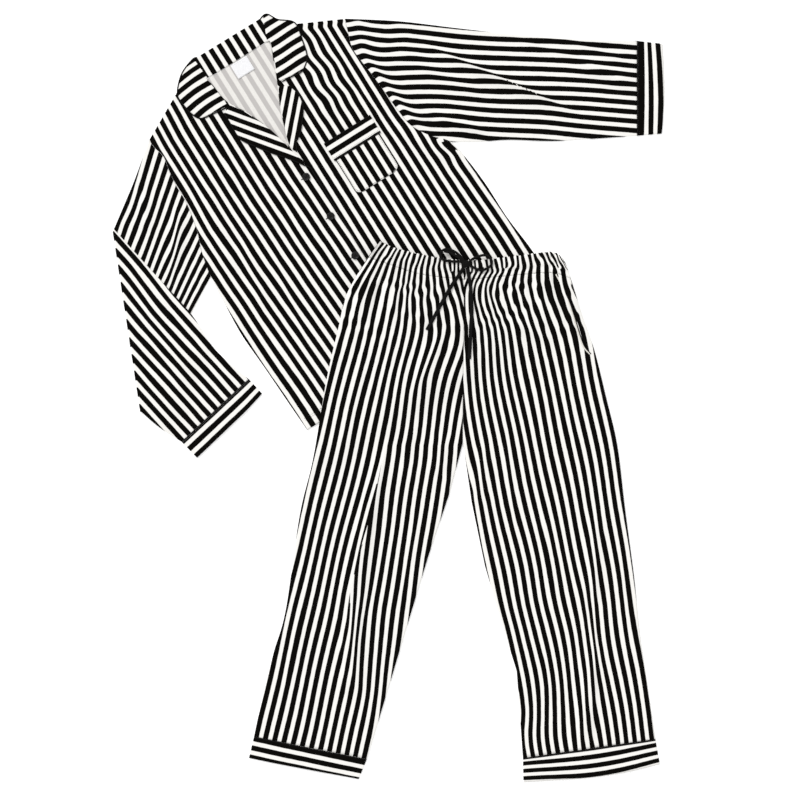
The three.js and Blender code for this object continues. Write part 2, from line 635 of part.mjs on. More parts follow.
// The height that the trousers lie on: over the shirt, with its placket, and down to the surface past it
function ground(x, y) {
  const dx = x - SHIRT_PLACE.x;
  const dy = y - SHIRT_PLACE.y;
  const [cos, sin] = [Math.cos(SHIRT_PLACE.turn), Math.sin(SHIRT_PLACE.turn)];
  const across = dx * cos + dy * sin;
  const up = dy * cos - dx * sin;
  const beyond = Math.max(HEM_Y - up, across - SIDE_X.left, SIDE_X.right - across);
  const cover = 1 - smooth(beyond, TROUSER_STEP.start, TROUSER_STEP.end);
  const { rise, centre, flat, end } = PLACKET_RIDGE;
  const ridge = rise * (1 - smooth(Math.abs(across - centre), flat, end));
  return cover * (SHIRT_TOP + AIR + ridge);
}

const trouserRise = (x, y, u, v) => {
  const fade = Math.exp(-Math.max(0, CENTRE_WAIST[1] - y) / GATHER_FADE) * (1 - smooth(v, 0.3, 0.45));
  const gather = (GATHER_RISE / 2) * (1 - Math.cos(2 * Math.PI * GATHERS_PER_LEG * u));
  return gather * fade + foldRise(TROUSER_FOLDS, x, y) * Math.sin(Math.PI * u) ** 0.5;
};
const trouserUnder = (x, y, u, v) => ground(x, y) + WALL + TROUSER_AIR + trouserRise(x, y, u, v);

function trouserLegs() {
  const seamCurve = curve(WAIST_SEAM);
  const centre = WAIST_SEAM.findIndex(([x]) => x === CENTRE_WAIST[0]) / (WAIST_SEAM.length - 1);
  const legs = [
    { side: 'right', outer: RIGHT_OUTER, inner: RIGHT_INNER, from: 0, shift: -SEAM_GAP / 2 },
    { side: 'left', outer: LEFT_OUTER, inner: LEFT_INNER, from: 1, shift: SEAM_GAP / 2 },
  ];
  const legRows = steps(LEG_ROWS);
  return legs.flatMap(({ side, outer, inner, from, shift }) => {
    const flat = between(
      (u) => seamCurve(lerp(from, centre, u)),
      [outer.at(-1), inner.at(-1)],
      outer,
      polyline(inner),
    );
    const plan = (u, v) => {
      const point = flat(u, v);
      point.x += shift * u;
      point.y -= SEAM_GAP * (1 - v);
      return point;
    };
    const front = clothPanel(`trouser_front_${side}`, stripedCloth, {
      columns: steps(2 * GATHERS_PER_LEG),
      rows: legRows,
      plan,
      under: trouserUnder,
      over: (x, y, u, v) => trouserUnder(x, y, u, v) + WALL,
    });
    const back = clothPanel(`trouser_back_${side}`, stripedCloth, {
      columns: steps(GATHERS_PER_LEG),
      rows: legRows,
      plan,
      under: ground,
      over: (x, y) => ground(x, y) + WALL,
    });
    return [front, back];
  });
}

function waistband() {
  const plan = between(WAIST_TOP, WAIST_SEAM, [WAIST_TOP[0], WAIST_SEAM[0]],
    [WAIST_TOP.at(-1), WAIST_SEAM.at(-1)]);
  return clothTube('waistband', stripedCloth, {
    columns: steps(2 * WAIST_WAVES),
    rows: [0, 0.5, 1],
    place: (u, v, h) => {
      const { x, y } = plan(u, v);
      return new THREE.Vector3(x, y + SEAM_GAP * v, h + ground(x, y));
    },
    under: () => 0,
    over: (u, v) => {
      const wave = (1 - Math.cos(2 * Math.PI * WAIST_WAVES * u)) / 2;
      return FLAT_TUBE + 1 + WAIST_WAVE_RISE * wave + (v === 0.5 ? 1 : 0);
    },
    inset: WALL / 370,
  });
}

function hemBands() {
  return [
    { side: 'right', seam: [RIGHT_OUTER.at(-1), RIGHT_INNER.at(-1)], end: RIGHT_HEM_END },
    { side: 'left', seam: [LEFT_OUTER.at(-1), LEFT_INNER.at(-1)], end: LEFT_HEM_END },
  ].map(({ side, seam, end }) => {
    const plan = between(seam, end, [seam[0], end[0]], [seam[1], end.at(-1)]);
    return clothTube(`hem_band_${side}`, crossCloth, {
      columns: steps(8),
      rows: [0.01, 0.06, 0.09, 1],
      place: (u, v, h) => {
        const { x, y } = plan(u, v);
        return new THREE.Vector3(x, y, h);
      },
      under: () => 0,
      over: (u, v) => FLAT_TUBE + 1.4 * Math.sin(Math.PI * u) + (v < 0.08 ? 0.8 : 0),
      inset: WALL / 265,
    });
  });
}

// Highest that the gathered cloth reaches at a point near the centre of the waist
function crest(x, y) {
  const nearWaist = Math.exp(-Math.max(0, CENTRE_WAIST[1] - y) / GATHER_FADE);
  const panel = 2 * WALL + TROUSER_AIR + GATHER_RISE * nearWaist + foldRise(TROUSER_FOLDS, x, y);
  const band = y > CENTRE_WAIST[1] - 8 ? FLAT_TUBE + 2 + WAIST_WAVE_RISE : 0;
  return ground(x, y) + Math.max(panel, band);
}

function drawstring() {
  const lay = (route, lift) => route.map(([x, y]) => [x, y, crest(x, y) + lift]);
  const loops = LOOP_ROUTES.map((route, i) => {
    const rise = route.map(([x, y], j) => {
      const away = Math.sin((Math.PI * j) / (route.length - 1));
      return [x, y, crest(KNOT.x, KNOT.y) + KNOT.height / 2 + KNOT.lift + away];
    });
    return cord(`loop_${i}`, blackTrim, rise, 4.5, 3, 12, 6);
  });
  const knot = new THREE.Mesh(new THREE.SphereGeometry(1, 10, 6), blackTrim);
  knot.scale.set(KNOT.radius, KNOT.radius * 0.8, KNOT.height / 1.6);
  knot.position.set(KNOT.x, KNOT.y, crest(KNOT.x, KNOT.y) + KNOT.height / 1.6 + KNOT.lift);
  knot.updateMatrix();
  return [
    joined('drawstring_bow', blackTrim, [knot, ...loops]),
    cord('drawstring_tail_short', blackTrim, lay(SHORT_TAIL, TAIL_LIFT), TAPE_WIDTH, TAPE_THICKNESS, 14),
    cord('drawstring_tail_long', blackTrim, lay(LONG_TAIL, TAIL_LIFT), TAPE_WIDTH, TAPE_THICKNESS, 16),
  ];
}

const shirt = new THREE.Group();
shirt.position.set(SHIRT_PLACE.x, SHIRT_PLACE.y, 0);
shirt.rotation.z = SHIRT_PLACE.turn;
shirt.add(shirtBack(), ...shirtFronts(), ...lapels(), collar(), neckLabel(), ...chestPocket());
shirt.add(...leftSleeve(), ...rightSleeve(), ...pipings(), ...buttons());

const trousers = new THREE.Group();
trousers.add(...trouserLegs(), waistband(), ...hemBands(), ...drawstring());

const set = new THREE.Group();
set.add(shirt, trousers);

export default set;
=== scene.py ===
"""Looks of a striped pyjama set laid out flat: a notched-collar shirt and drawstring trousers.

Shapes are worked out in millimetres, +Z up, and become metres when a mesh is made. "Right" and "left" are
the wearer's. The shirt is worked out in its own frame, x across the body and y up it, and is then turned
into the set's frame. On every piece of striped cloth the UV map counts stripes: U is a whole number on the
middle of a dark stripe, and V is the length along the stripes in the same unit.

In every function x and y are places across and up, u and v are shares from 0 to 1 across and along a piece,
and h or z is a height. They are arrays of one shape, and so is what comes back.
"""

import logging
import math
from dataclasses import dataclass
from enum import Enum, IntEnum
from typing import Callable, Optional, Sequence

import bpy
import numpy as np
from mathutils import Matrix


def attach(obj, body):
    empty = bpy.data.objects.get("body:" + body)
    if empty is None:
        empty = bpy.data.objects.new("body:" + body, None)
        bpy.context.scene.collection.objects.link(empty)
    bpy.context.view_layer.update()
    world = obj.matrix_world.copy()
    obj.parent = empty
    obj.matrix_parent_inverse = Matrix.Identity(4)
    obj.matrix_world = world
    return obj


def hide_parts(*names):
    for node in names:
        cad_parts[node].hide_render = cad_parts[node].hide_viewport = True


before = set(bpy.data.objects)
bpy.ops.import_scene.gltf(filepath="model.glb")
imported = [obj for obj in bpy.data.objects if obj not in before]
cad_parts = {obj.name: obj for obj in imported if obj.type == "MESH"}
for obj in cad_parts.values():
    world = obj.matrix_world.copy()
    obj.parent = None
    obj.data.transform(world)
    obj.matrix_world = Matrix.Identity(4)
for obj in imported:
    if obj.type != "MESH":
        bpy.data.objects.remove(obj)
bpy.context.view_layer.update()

log = logging.getLogger("pyjama_set")

Array = np.ndarray
Point = tuple[float, float]
Piece = bpy.types.Object
Material = bpy.types.Material
Socket = bpy.types.NodeSocket
Edge = Callable[[Array], Array]
Plan = Callable[[Array, Array], tuple[Array, Array]]
Share = Callable[[Array, Array], Array]
Height = Callable[[Array, Array, Array, Array], Array]
Place = Callable[[Array, Array, Array], tuple[Array, Array, Array]]

MM = 0.001
# The length that the UV map counts as one
PITCH = 18.15

# Cloth, as in the solids
WALL = 1.2
AIR = 0.4
LAYER = WALL + AIR
FLAT_TUBE = WALL + LAYER
SEAM_GAP = 0.3
PIPING = 2.4
# Air under a lapel, and how far inside the piping's middle a piped edge ends
LAPEL_AIR = 1.6 * AIR
PIPED_INSET = 0.7
# Steps in from a folded edge of a tube, and where its even columns start
EDGE_STEPS = (0.0, 0.25, 0.8, 1.6, 2.6)
EVEN_FROM = 3.6


class Slot(Enum):
    """Material slots of the record."""

    STRIPED = "striped_knit"
    CROSSED = "cross_striped_knit"
    TRIM = "black_trim"
    BUTTON = "button"
    LABEL = "label"


class Side(IntEnum):
    """Which finish of a piece a face takes."""

    RIGHT = 0
    WRONG = 1
    TRIM = 2


class Hand(Enum):
    """The wearer's side."""

    RIGHT = "right"
    LEFT = "left"


# Formulas on whole arrays


def smooth(t: Array, low: float, high: float) -> Array:
    """A step from 0 at low to 1 at high with level ends: 3s squared less 2s cubed."""
    s = np.clip((t - low) / (high - low), 0, 1)
    return s * s * (3 - 2 * s)


def curve(points: Sequence[Point], t: Array) -> Array:
    """A smooth curve through points at equal steps of its parameter, each stretch a cubic.

    Args:
        points: the points it passes, in millimetres.
        t: parameters from 0 to 1.

    Returns:
        One point for each parameter, the coordinates last.
    """
    p = np.asarray(points, float)
    last = len(p) - 1
    place = np.clip(t, 0, 1) * last
    i = np.minimum(place.astype(int), last - 1)
    w = (place - i)[..., None]
    before, a, b, after = p[np.maximum(i - 1, 0)], p[i], p[i + 1], p[np.minimum(i + 2, last)]
    leave, arrive = (b - before) / 2, (after - a) / 2
    cubic = (2 * a - 2 * b + leave + arrive) * w**3 + (3 * b - 3 * a - 2 * leave - arrive) * w**2
    return cubic + leave * w + a


def polyline(points: Sequence[Point], t: Array) -> Array:
    """Straight stretches between points at equal steps of its parameter.

    Args:
        points: the points it passes.
        t: parameters from 0 to 1.

    Returns:
        One point for each parameter, the coordinates last.
    """
    p = np.asarray(points, float)
    steps = np.linspace(0, 1, len(p))
    return np.stack([np.interp(t, steps, p[:, k]) for k in range(p.shape[1])], axis=-1)


def eased(knots: Sequence[float], values: Sequence[float], t: Array) -> Array:
    """A smooth function through values at uneven knots: cubics whose slopes are those of their neighbours.

    Args:
        knots: rising places of the values.
        values: the values there.
        t: where it is wanted; past the ends it goes on straight.

    Returns:
        The function at t.
    """
    x, y = np.asarray(knots, float), np.asarray(values, float)
    slope = np.gradient(y, x)
    i = np.clip(np.searchsorted(x, t) - 1, 0, len(x) - 2)
    span = x[i + 1] - x[i]
    s = np.clip((t - x[i]) / span, 0, 1)
    rest = t - np.clip(t, x[0], x[-1])
    inside = (2 * s**3 - 3 * s**2 + 1) * y[i] + (s**3 - 2 * s**2 + s) * span * slope[i]
    inside = inside + (3 * s**2 - 2 * s**3) * y[i + 1] + (s**3 - s**2) * span * slope[i + 1]
    return inside + rest * np.where(t < x[0], slope[0], slope[-1])


def smooth_edge(points: Sequence[Point]) -> Edge:
    """The smooth curve through points as an edge of a patch."""
    return lambda t: curve(points, t)


def straight_edge(points: Sequence[Point]) -> Edge:
    """The straight stretches between points as an edge of a patch."""
    return lambda t: polyline(points, t)


def patch(start: Edge, end: Edge, low: Edge, high: Edge) -> Plan:
    """The surface between four edges: the two blends of facing edges, less the blend of the corners.

    Args:
        start: edge at v 0, along u.
        end: edge at v 1, along u.
        low: edge at u 0, along v.
        high: edge at u 1, along v.

    Returns:
        A function of u and v that gives x and y.
    """
    def place(u: Array, v: Array) -> tuple[Array, Array]:
        """The point at u and v."""
        u, v = np.broadcast_arrays(u, v)
        a, b = u[..., None], v[..., None]
        zero, one = np.zeros_like(u), np.ones_like(u)
        across = start(u) * (1 - b) + end(u) * b
        along = low(v) * (1 - a) + high(v) * a
        corners = start(zero) * (1 - a) * (1 - b) + start(one) * a * (1 - b)
        corners = corners + end(zero) * (1 - a) * b + end(one) * a * b
        point = across + along - corners
        return point[..., 0], point[..., 1]
    return place


def ruled(first: Edge, second: Edge) -> Plan:
    """Straight rows between two edges.

    Args:
        first: edge at u 0, along v.
        second: edge at u 1, along v.

    Returns:
        A function of u and v that gives x and y.
    """
    def place(u: Array, v: Array) -> tuple[Array, Array]:
        """The point at u and v."""
        u, v = np.broadcast_arrays(u, v)
        point = first(v) * (1 - u[..., None]) + second(v) * u[..., None]
        return point[..., 0], point[..., 1]
    return place


def boxed(box: tuple[float, ...]) -> Plan:
    """The plan of a box, given by its left, right, upper and lower edge."""
    left, right, top, bottom = box
    return ruled(straight_edge(((left, top), (left, bottom))), straight_edge(((right, top), (right, bottom))))


def on_plan(plan: Plan) -> Place:
    """A plan as the place of a tube's points, each at the height asked for."""
    return lambda u, v, h: (*plan(u, v), h)


def raised(x: Array, y: Array, z: Array) -> Array:
    """Points in one row from their coordinates; a single number goes for every point."""
    return np.stack([part.ravel() for part in np.broadcast_arrays(x, y, z)], axis=1)


def lengths(line: Array) -> Array:
    """The length along a line up to each of its points."""
    return np.concatenate([[0], np.cumsum(np.linalg.norm(np.diff(line, axis=0), axis=1))])


# Creases


@dataclass(frozen=True)
class Crease:
    """A soft ridge of cloth along a straight line, highest on the line and gone at its ends.

    Attributes:
        start: where the line starts.
        end: where it ends.
        width: its half width.
        rise: its height, or below 0 the depth of a trough.
        tuck: how far it draws the stripes together across it, in stripes.
        slip: how far the stripes jump from one side of it to the other, in stripes.
        reach: how far beside the line the jump is felt.
    """

    start: Point
    end: Point
    width: float
    rise: float
    tuck: float = 0.0
    slip: float = 0.0
    reach: float = 60.0

    def place(self, x: Array, y: Array) -> tuple[Array, Array]:
        """Distance beside the line in half widths, and its strength along the line."""
        dx, dy = self.end[0] - self.start[0], self.end[1] - self.start[1]
        length = math.hypot(dx, dy)
        along = ((x - self.start[0]) * dx + (y - self.start[1]) * dy) / length**2
        beside = ((x - self.start[0]) * dy - (y - self.start[1]) * dx) / length
        strength = smooth(along, -0.1, 0.25) * (1 - smooth(along, 0.75, 1.1))
        return beside / self.width, strength

    def height(self, x: Array, y: Array) -> Array:
        """Its height: the rise times its strength and a bell of the distance."""
        beside, strength = self.place(x, y)
        return self.rise * strength * np.exp(-beside**2)

    def pull(self, x: Array, y: Array) -> Array:
        """How many stripes it moves them by: the distance times its bell, and half the jump a side."""
        beside, strength = self.place(x, y)
        jump = np.tanh(beside * self.width / 1.6) * np.exp(-((beside * self.width / self.reach) ** 2))
        return strength * (self.tuck * beside * np.exp(-beside**2) + self.slip / 2 * jump)


def heights(creases: Sequence[Crease], x: Array, y: Array) -> Array:
    """The summed height of several creases."""
    return sum((crease.height(x, y) for crease in creases), np.zeros(np.shape(x)))


def pulls(creases: Sequence[Crease], x: Array, y: Array) -> Array:
    """The summed pull of several creases on the stripes."""
    return sum((crease.pull(x, y) for crease in creases), np.zeros(np.shape(x)))


@dataclass(frozen=True)
class Drape:
    """Low waves of cloth that lies loosely: a few sines of unlike lengths and directions, never below 0.

    Attributes:
        depth: the highest that they reach.
        length: the length of the first wave.
        turn: its direction.
    """

    depth: float
    length: float
    turn: float

    def height(self, x: Array, y: Array) -> Array:
        """The sum of three sines, the second bent by the first, shifted to start at 0."""
        c, s = math.cos(self.turn), math.sin(self.turn)
        a, b = (x * c + y * s) / self.length, (y * c - x * s) / (2.7 * self.length)
        first = np.sin(2 * math.pi * a + 1.9 * np.sin(2 * math.pi * b + 0.6))
        second = np.sin(2 * math.pi * (0.57 * a - 0.8 * b) + 1.3 * first + 2.1)
        third = np.sin(2 * math.pi * (1.3 * b + 0.31 * a) + 4.4)
        return self.depth * (2.2 + 0.9 * first + 0.8 * second + 0.5 * third) / 4.4


# Surfaces


@dataclass
class Surface:
    """A mesh in the making: points, faces of four corners, a UV for each point, a finish for each face."""

    points: Array
    faces: Array
    uv: Array
    side: Array

    @classmethod
    def shell(cls, points: Array, faces: Array) -> "Surface":
        """A closed shell of one finish, its UV map told by x and y."""
        return cls(points, faces, points[:, :2] / PITCH, np.full(len(faces), Side.RIGHT)).outward()

    def outward(self) -> "Surface":
        """The same surface with its faces turned outwards, told by the sign of the volume it holds."""
        a, b, c, d = (self.points[self.faces[:, k]] for k in range(4))
        volume = np.einsum("ij,ij->", a, np.cross(b, c)) + np.einsum("ij,ij->", a, np.cross(c, d))
        if volume < 0:
            self.faces = self.faces[:, ::-1]
        return self

    def moved(self, place: Callable[[Array, Array], tuple[Array, Array]]) -> "Surface":
        """The surface with its x and y put through a function.

        Args:
            place: gives the new x and y of a point.

        Returns:
            The surface itself.
        """
        x, y = place(self.points[:, 0], self.points[:, 1])
        self.points = np.stack([x, y, self.points[:, 2]], axis=1)
        return self


def gathered(surfaces: Sequence[Surface]) -> Surface:
    """Several surfaces as one."""
    starts = np.cumsum([0] + [len(s.points) for s in surfaces[:-1]])
    return Surface(
        np.concatenate([s.points for s in surfaces]),
        np.concatenate([s.faces + start for s, start in zip(surfaces, starts)]),
        np.concatenate([s.uv for s in surfaces]),
        np.concatenate([s.side for s in surfaces]),
    )


def grid_faces(columns: int, rows: int, ring: bool = False) -> Array:
    """Faces of a grid whose points run along the columns first.

    Args:
        columns: points across.
        rows: points along.
        ring: whether the last column is joined to the first.

    Returns:
        Four corners for each face.
    """
    across = columns if ring else columns - 1
    i, j = np.meshgrid(np.arange(across), np.arange(rows - 1))
    following = (i + 1) % columns
    near, far = j * columns, (j + 1) * columns
    corners = [near + i, near + following, far + following, far + i]
    return np.stack([corner.ravel() for corner in corners], axis=1)


def cloth_panel(
    plan: Plan, under: Height, over: Height, columns: int, rows: int,
    stripes: Height, along: Height, soft_edge: float = 0.35,
) -> Surface:
    """A single layer of cloth with its two faces and its rim, its edges rolled off a little.

    Args:
        plan: x and y of a point of the cloth.
        under: height of the lower face.
        over: height of the upper face.
        columns: faces across.
        rows: faces along.
        stripes: the stripe count there.
        along: the length along the stripes.
        soft_edge: how far the upper face comes down at the rim.

    Returns:
        The closed shell; its lower face takes the wrong side's finish.
    """
    u, v = np.meshgrid(np.linspace(0, 1, columns + 1), np.linspace(0, 1, rows + 1))
    x, y = plan(u, v)
    top, bottom = over(x, y, u, v), under(x, y, u, v)
    rim = np.zeros_like(u)
    rim[[0, -1], :] = soft_edge
    rim[:, [0, -1]] = soft_edge
    uv = np.stack([stripes(x, y, u, v).ravel(), along(x, y, u, v).ravel() / PITCH], axis=1)
    upper, lower = raised(x, y, top - rim), raised(x, y, bottom)
    count, wide = len(upper), columns + 1
    faces = grid_faces(wide, rows + 1)
    index = np.arange(count).reshape(rows + 1, wide)
    loop = np.concatenate([index[0, :-1], index[:-1, -1], index[-1, :0:-1], index[:0:-1, 0]])
    after = np.roll(loop, -1)
    band = np.stack([loop, loop + count, after + count, after], axis=1)
    side = np.concatenate([
        np.full(len(faces), Side.RIGHT), np.full(len(faces), Side.WRONG), np.full(len(band), Side.RIGHT),
    ])
    return Surface(
        np.concatenate([upper, lower]),
        np.concatenate([faces, faces[:, ::-1] + count, band]),
        np.concatenate([uv, uv]),
        side,
    ).outward()


def tube_columns(width: float, count: int) -> Array:
    """Shares across a flat tube: even steps, with a few closer ones round each folded edge."""
    edge = np.array(EDGE_STEPS) / width
    middle = np.linspace(EVEN_FROM / width, 1 - EVEN_FROM / width, count)
    return np.concatenate([edge, middle, 1 - edge[::-1]])


def cloth_tube(
    place: Place, under: Share, over: Share, width: float, columns: int, rows: Array,
    stripes: Height, along: Height, round_edge: float = 3.0, trim: Optional[Point] = None,
) -> Surface:
    """A tube of cloth pressed flat and open at both ends, its folded edges round.

    At a folded edge the two layers meet half way up: the half height there is that of a quarter circle.

    Args:
        place: x, y and z of a point from u, v and its height over the plan.
        under: height of the lower face from u and v.
        over: height of the upper face from u and v.
        width: about how wide the tube is.
        columns: faces across between the edges.
        rows: shares along the tube.
        stripes: the stripe count, from x, y, u and v.
        along: the length along the stripes.
        round_edge: how far in from a folded edge the rounding reaches.
        trim: the shares along the tube between which its upper face takes the trim's finish.

    Returns:
        The closed shell; its inner walls take the wrong side's finish.
    """
    across = tube_columns(width, columns)
    low_u, high_u = across, across[-2:0:-1]
    ring_u = np.concatenate([low_u, high_u])
    is_high = np.concatenate([np.zeros(len(low_u)), np.ones(len(high_u))])
    u, v = np.meshgrid(ring_u, rows)
    sign = np.broadcast_to(2 * is_high - 1, u.shape)

    def walls(inset: float, wall: float) -> Array:
        """Points of one wall, moved in from the folded edges and from the two faces."""
        at = inset + u * (1 - 2 * inset)
        low, high = under(at, v), over(at, v)
        reach = np.clip(np.minimum(u, 1 - u) * width / round_edge, 0, 1)
        half = np.maximum((high - low) / 2 - wall, 0.05) * np.sqrt(1 - (1 - reach) ** 2)
        return raised(*place(at, v, (low + high) / 2 + sign * half))

    outer, inner = walls(0.0, 0.0), walls(1.3 * WALL / width, WALL)
    ring, count = len(ring_u), len(outer)
    faces = grid_faces(ring, len(rows), ring=True)
    first = np.arange(ring)
    following = (first + 1) % ring
    last = (len(rows) - 1) * ring
    near = np.stack([following, first, first + count, following + count], axis=1)
    far = np.stack([first, following, following + count, first + count], axis=1) + last
    x, y, _ = place(u, v, np.zeros_like(u))
    uv = np.stack([stripes(x, y, u, v).ravel(), along(x, y, u, v).ravel() / PITCH], axis=1)
    side = np.full(len(faces), Side.RIGHT)
    if trim:
        middle = (v.ravel()[faces[:, 0]] + v.ravel()[faces[:, 2]]) / 2
        side[(middle > trim[0]) & (middle < trim[1])] = Side.TRIM
    return Surface(
        np.concatenate([outer, inner]),
        np.concatenate([faces, faces[:, ::-1] + count, near, far]),
        np.concatenate([uv, uv]),
        np.concatenate([
            side, np.full(len(faces), Side.WRONG), np.full(len(near) + len(far), Side.RIGHT),
        ]),
    ).outward()


def through(route: Sequence[Sequence[float]], count: int) -> Array:
    """Points at even distances along the smooth curve through a route.

    Args:
        route: the points it passes.
        count: how many points are wanted.

    Returns:
        The points.
    """
    fine = curve(route, np.linspace(0, 1, 40 * len(route)))
    run = lengths(fine)
    at = np.linspace(0, run[-1], count)
    return np.stack([np.interp(at, run, fine[:, k]) for k in range(fine.shape[1])], axis=-1)


def drawn_to(points: Array, line: Array, inset: float) -> Array:
    """Moves points to the nearest places of a line.

    Args:
        points: the points, their coordinates last.
        line: close points of the line.
        inset: how far short of it they stop, on the side that they come from.

    Returns:
        The moved points.
    """
    apart = line - points.reshape(-1, 1, 2)
    near = apart[np.arange(len(apart)), np.argmin(np.linalg.norm(apart, axis=2), axis=1)]
    far = np.maximum(np.linalg.norm(near, axis=1, keepdims=True), 1e-6)
    return points + (near * (1 - inset / far)).reshape(points.shape)


def ribbon(path: Array, width: float, thickness: float, sides: int = 12, tip: float = 0.6) -> Surface:
    """A cord or tape: an oval carried along a path, level across it, its ends drawn in and closed.

    Args:
        path: points of its centreline.
        width: its size level across the path.
        thickness: its size square to the width and the path.
        sides: points round the oval.
        tip: how far past the path's ends the closed ends reach.

    Returns:
        The closed shell.
    """
    ahead = np.gradient(path, axis=0)
    ahead /= np.linalg.norm(ahead, axis=1, keepdims=True)
    across = np.cross(ahead, [0.0, 0.0, 1.0])
    across /= np.maximum(np.linalg.norm(across, axis=1, keepdims=True), 1e-9)
    up = np.cross(across, ahead)
    ends = [path[0] - tip * ahead[0], *path, path[-1] + tip * ahead[-1]]
    line = np.concatenate([ends[:1], [path[0] - 0.8 * tip * ahead[0]], path,
                           [path[-1] + 0.8 * tip * ahead[-1]], ends[-1:]])
    pad = [0, 0, *range(len(path)), len(path) - 1, len(path) - 1]
    size = np.ones(len(line))
    size[[0, -1]], size[[1, -2]] = 0.02, 0.75
    angle = 2 * math.pi * np.arange(sides) / sides
    c, s = np.cos(angle), np.sin(angle)
    flat = np.sign(s) * np.abs(s) ** 0.8
    points = (
        line[:, None, :]
        + (size[:, None] * c * width / 2)[..., None] * across[pad][:, None, :]
        + (size[:, None] * flat * thickness / 2)[..., None] * up[pad][:, None, :]
    )
    run = lengths(line)
    uv = np.stack([
        np.tile(angle / (2 * math.pi) * (width + thickness) * 1.6 / PITCH, len(line)),
        np.repeat(run / PITCH, sides),
    ], axis=1)
    faces = grid_faces(sides, len(line), ring=True)
    return Surface(points.reshape(-1, 3), faces, uv, np.full(len(faces), Side.RIGHT)).outward()


def stitches(line: Array, length: float, gap: float, thickness: float) -> Surface:
    """A row of stitches: short flat-bottomed bars of thread along a line.

    Args:
        line: points of the sewing line, on the cloth.
        length: length of a stitch.
        gap: cloth between two stitches.
        thickness: the thread's thickness.

    Returns:
        All the stitches as one surface, each a closed bar of four rings.
    """
    run = lengths(line)
    count = max(int(run[-1] / (length + gap)), 1)
    starts = (np.arange(count) + 0.2) * run[-1] / count
    shares = np.array([0.0, 0.18, 0.82, 1.0])
    at = starts[:, None] + shares * length
    centre = np.stack([np.interp(at, run, line[:, k]) for k in range(3)], axis=-1)
    ahead = centre[:, -1] - centre[:, 0]
    ahead /= np.linalg.norm(ahead, axis=1, keepdims=True)
    across = np.cross(ahead, [0.0, 0.0, 1.0])
    size = np.array([0.25, 1.0, 1.0, 0.25]) * thickness / 2
    lift = np.array([-0.5, 0.35, 0.35, -0.5]) * thickness
    sides, rings = 6, len(shares)
    angle = 2 * math.pi * np.arange(sides) / sides
    offset = np.cos(angle)[:, None] * across[:, None, None, :]
    offset = offset + np.sin(angle)[:, None] * np.array([0.0, 0.0, 1.0])
    points = centre[:, :, None, :] + size[:, None, None] * offset
    points[..., 2] += lift[:, None]
    caps = np.array([[0, 3, 2, 1], [0, 5, 4, 3], [18, 19, 20, 21], [18, 21, 22, 23]])
    one = np.concatenate([grid_faces(sides, rings, ring=True), caps])
    faces = (one[None] + sides * rings * np.arange(count)[:, None, None]).reshape(-1, 4)
    return Surface.shell(points.reshape(-1, 3), faces)


def make_object(name: str, surface: Surface, finishes: Sequence[Material]) -> Piece:
    """Makes the mesh object of a surface.

    Stripes count modulo one, so within a face whole stripes are taken off the difference of two corners;
    this lets the pattern jump at a fold line.

    Args:
        name: the object's name.
        surface: its points in millimetres.
        finishes: the materials of its sides, in the order of Side.

    Returns:
        The object, at the origin.
    """
    mesh = bpy.data.meshes.new(name)
    mesh.from_pydata((surface.points * MM).tolist(), [], surface.faces.tolist())
    layer = mesh.uv_layers.new(name="Cloth")
    corners = np.empty(len(mesh.loops), dtype=np.int32)
    mesh.loops.foreach_get("vertex_index", corners)
    spots = surface.uv[corners].reshape(-1, 4, 2)
    spots[:, 1:, 0] -= np.round(spots[:, 1:, 0] - spots[:, :1, 0])
    layer.data.foreach_set("uv", spots.astype(np.float32).ravel())
    for finish in finishes:
        mesh.materials.append(finish)
    side = np.minimum(surface.side, len(finishes) - 1).astype(np.int32)
    mesh.polygons.foreach_set("material_index", side)
    mesh.polygons.foreach_set("use_smooth", np.ones(len(mesh.polygons), dtype=bool))
    mesh.update()
    thing = bpy.data.objects.new(name, mesh)
    bpy.context.scene.collection.objects.link(thing)
    return thing


def dress(thing: Piece, slot: Slot, *nodes: str) -> Piece:
    """Lets a piece ride on the set and stand for CAD nodes, and reports it.

    Args:
        thing: the piece.
        slot: its material slot; not used.
        nodes: the CAD nodes that it stands for.

    Returns:
        The piece.
    """
    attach(thing, "root")
    if nodes:
        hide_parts(*nodes)
    log.info("%s: %d faces", thing.name, len(thing.data.polygons))
    return thing


# Finishes


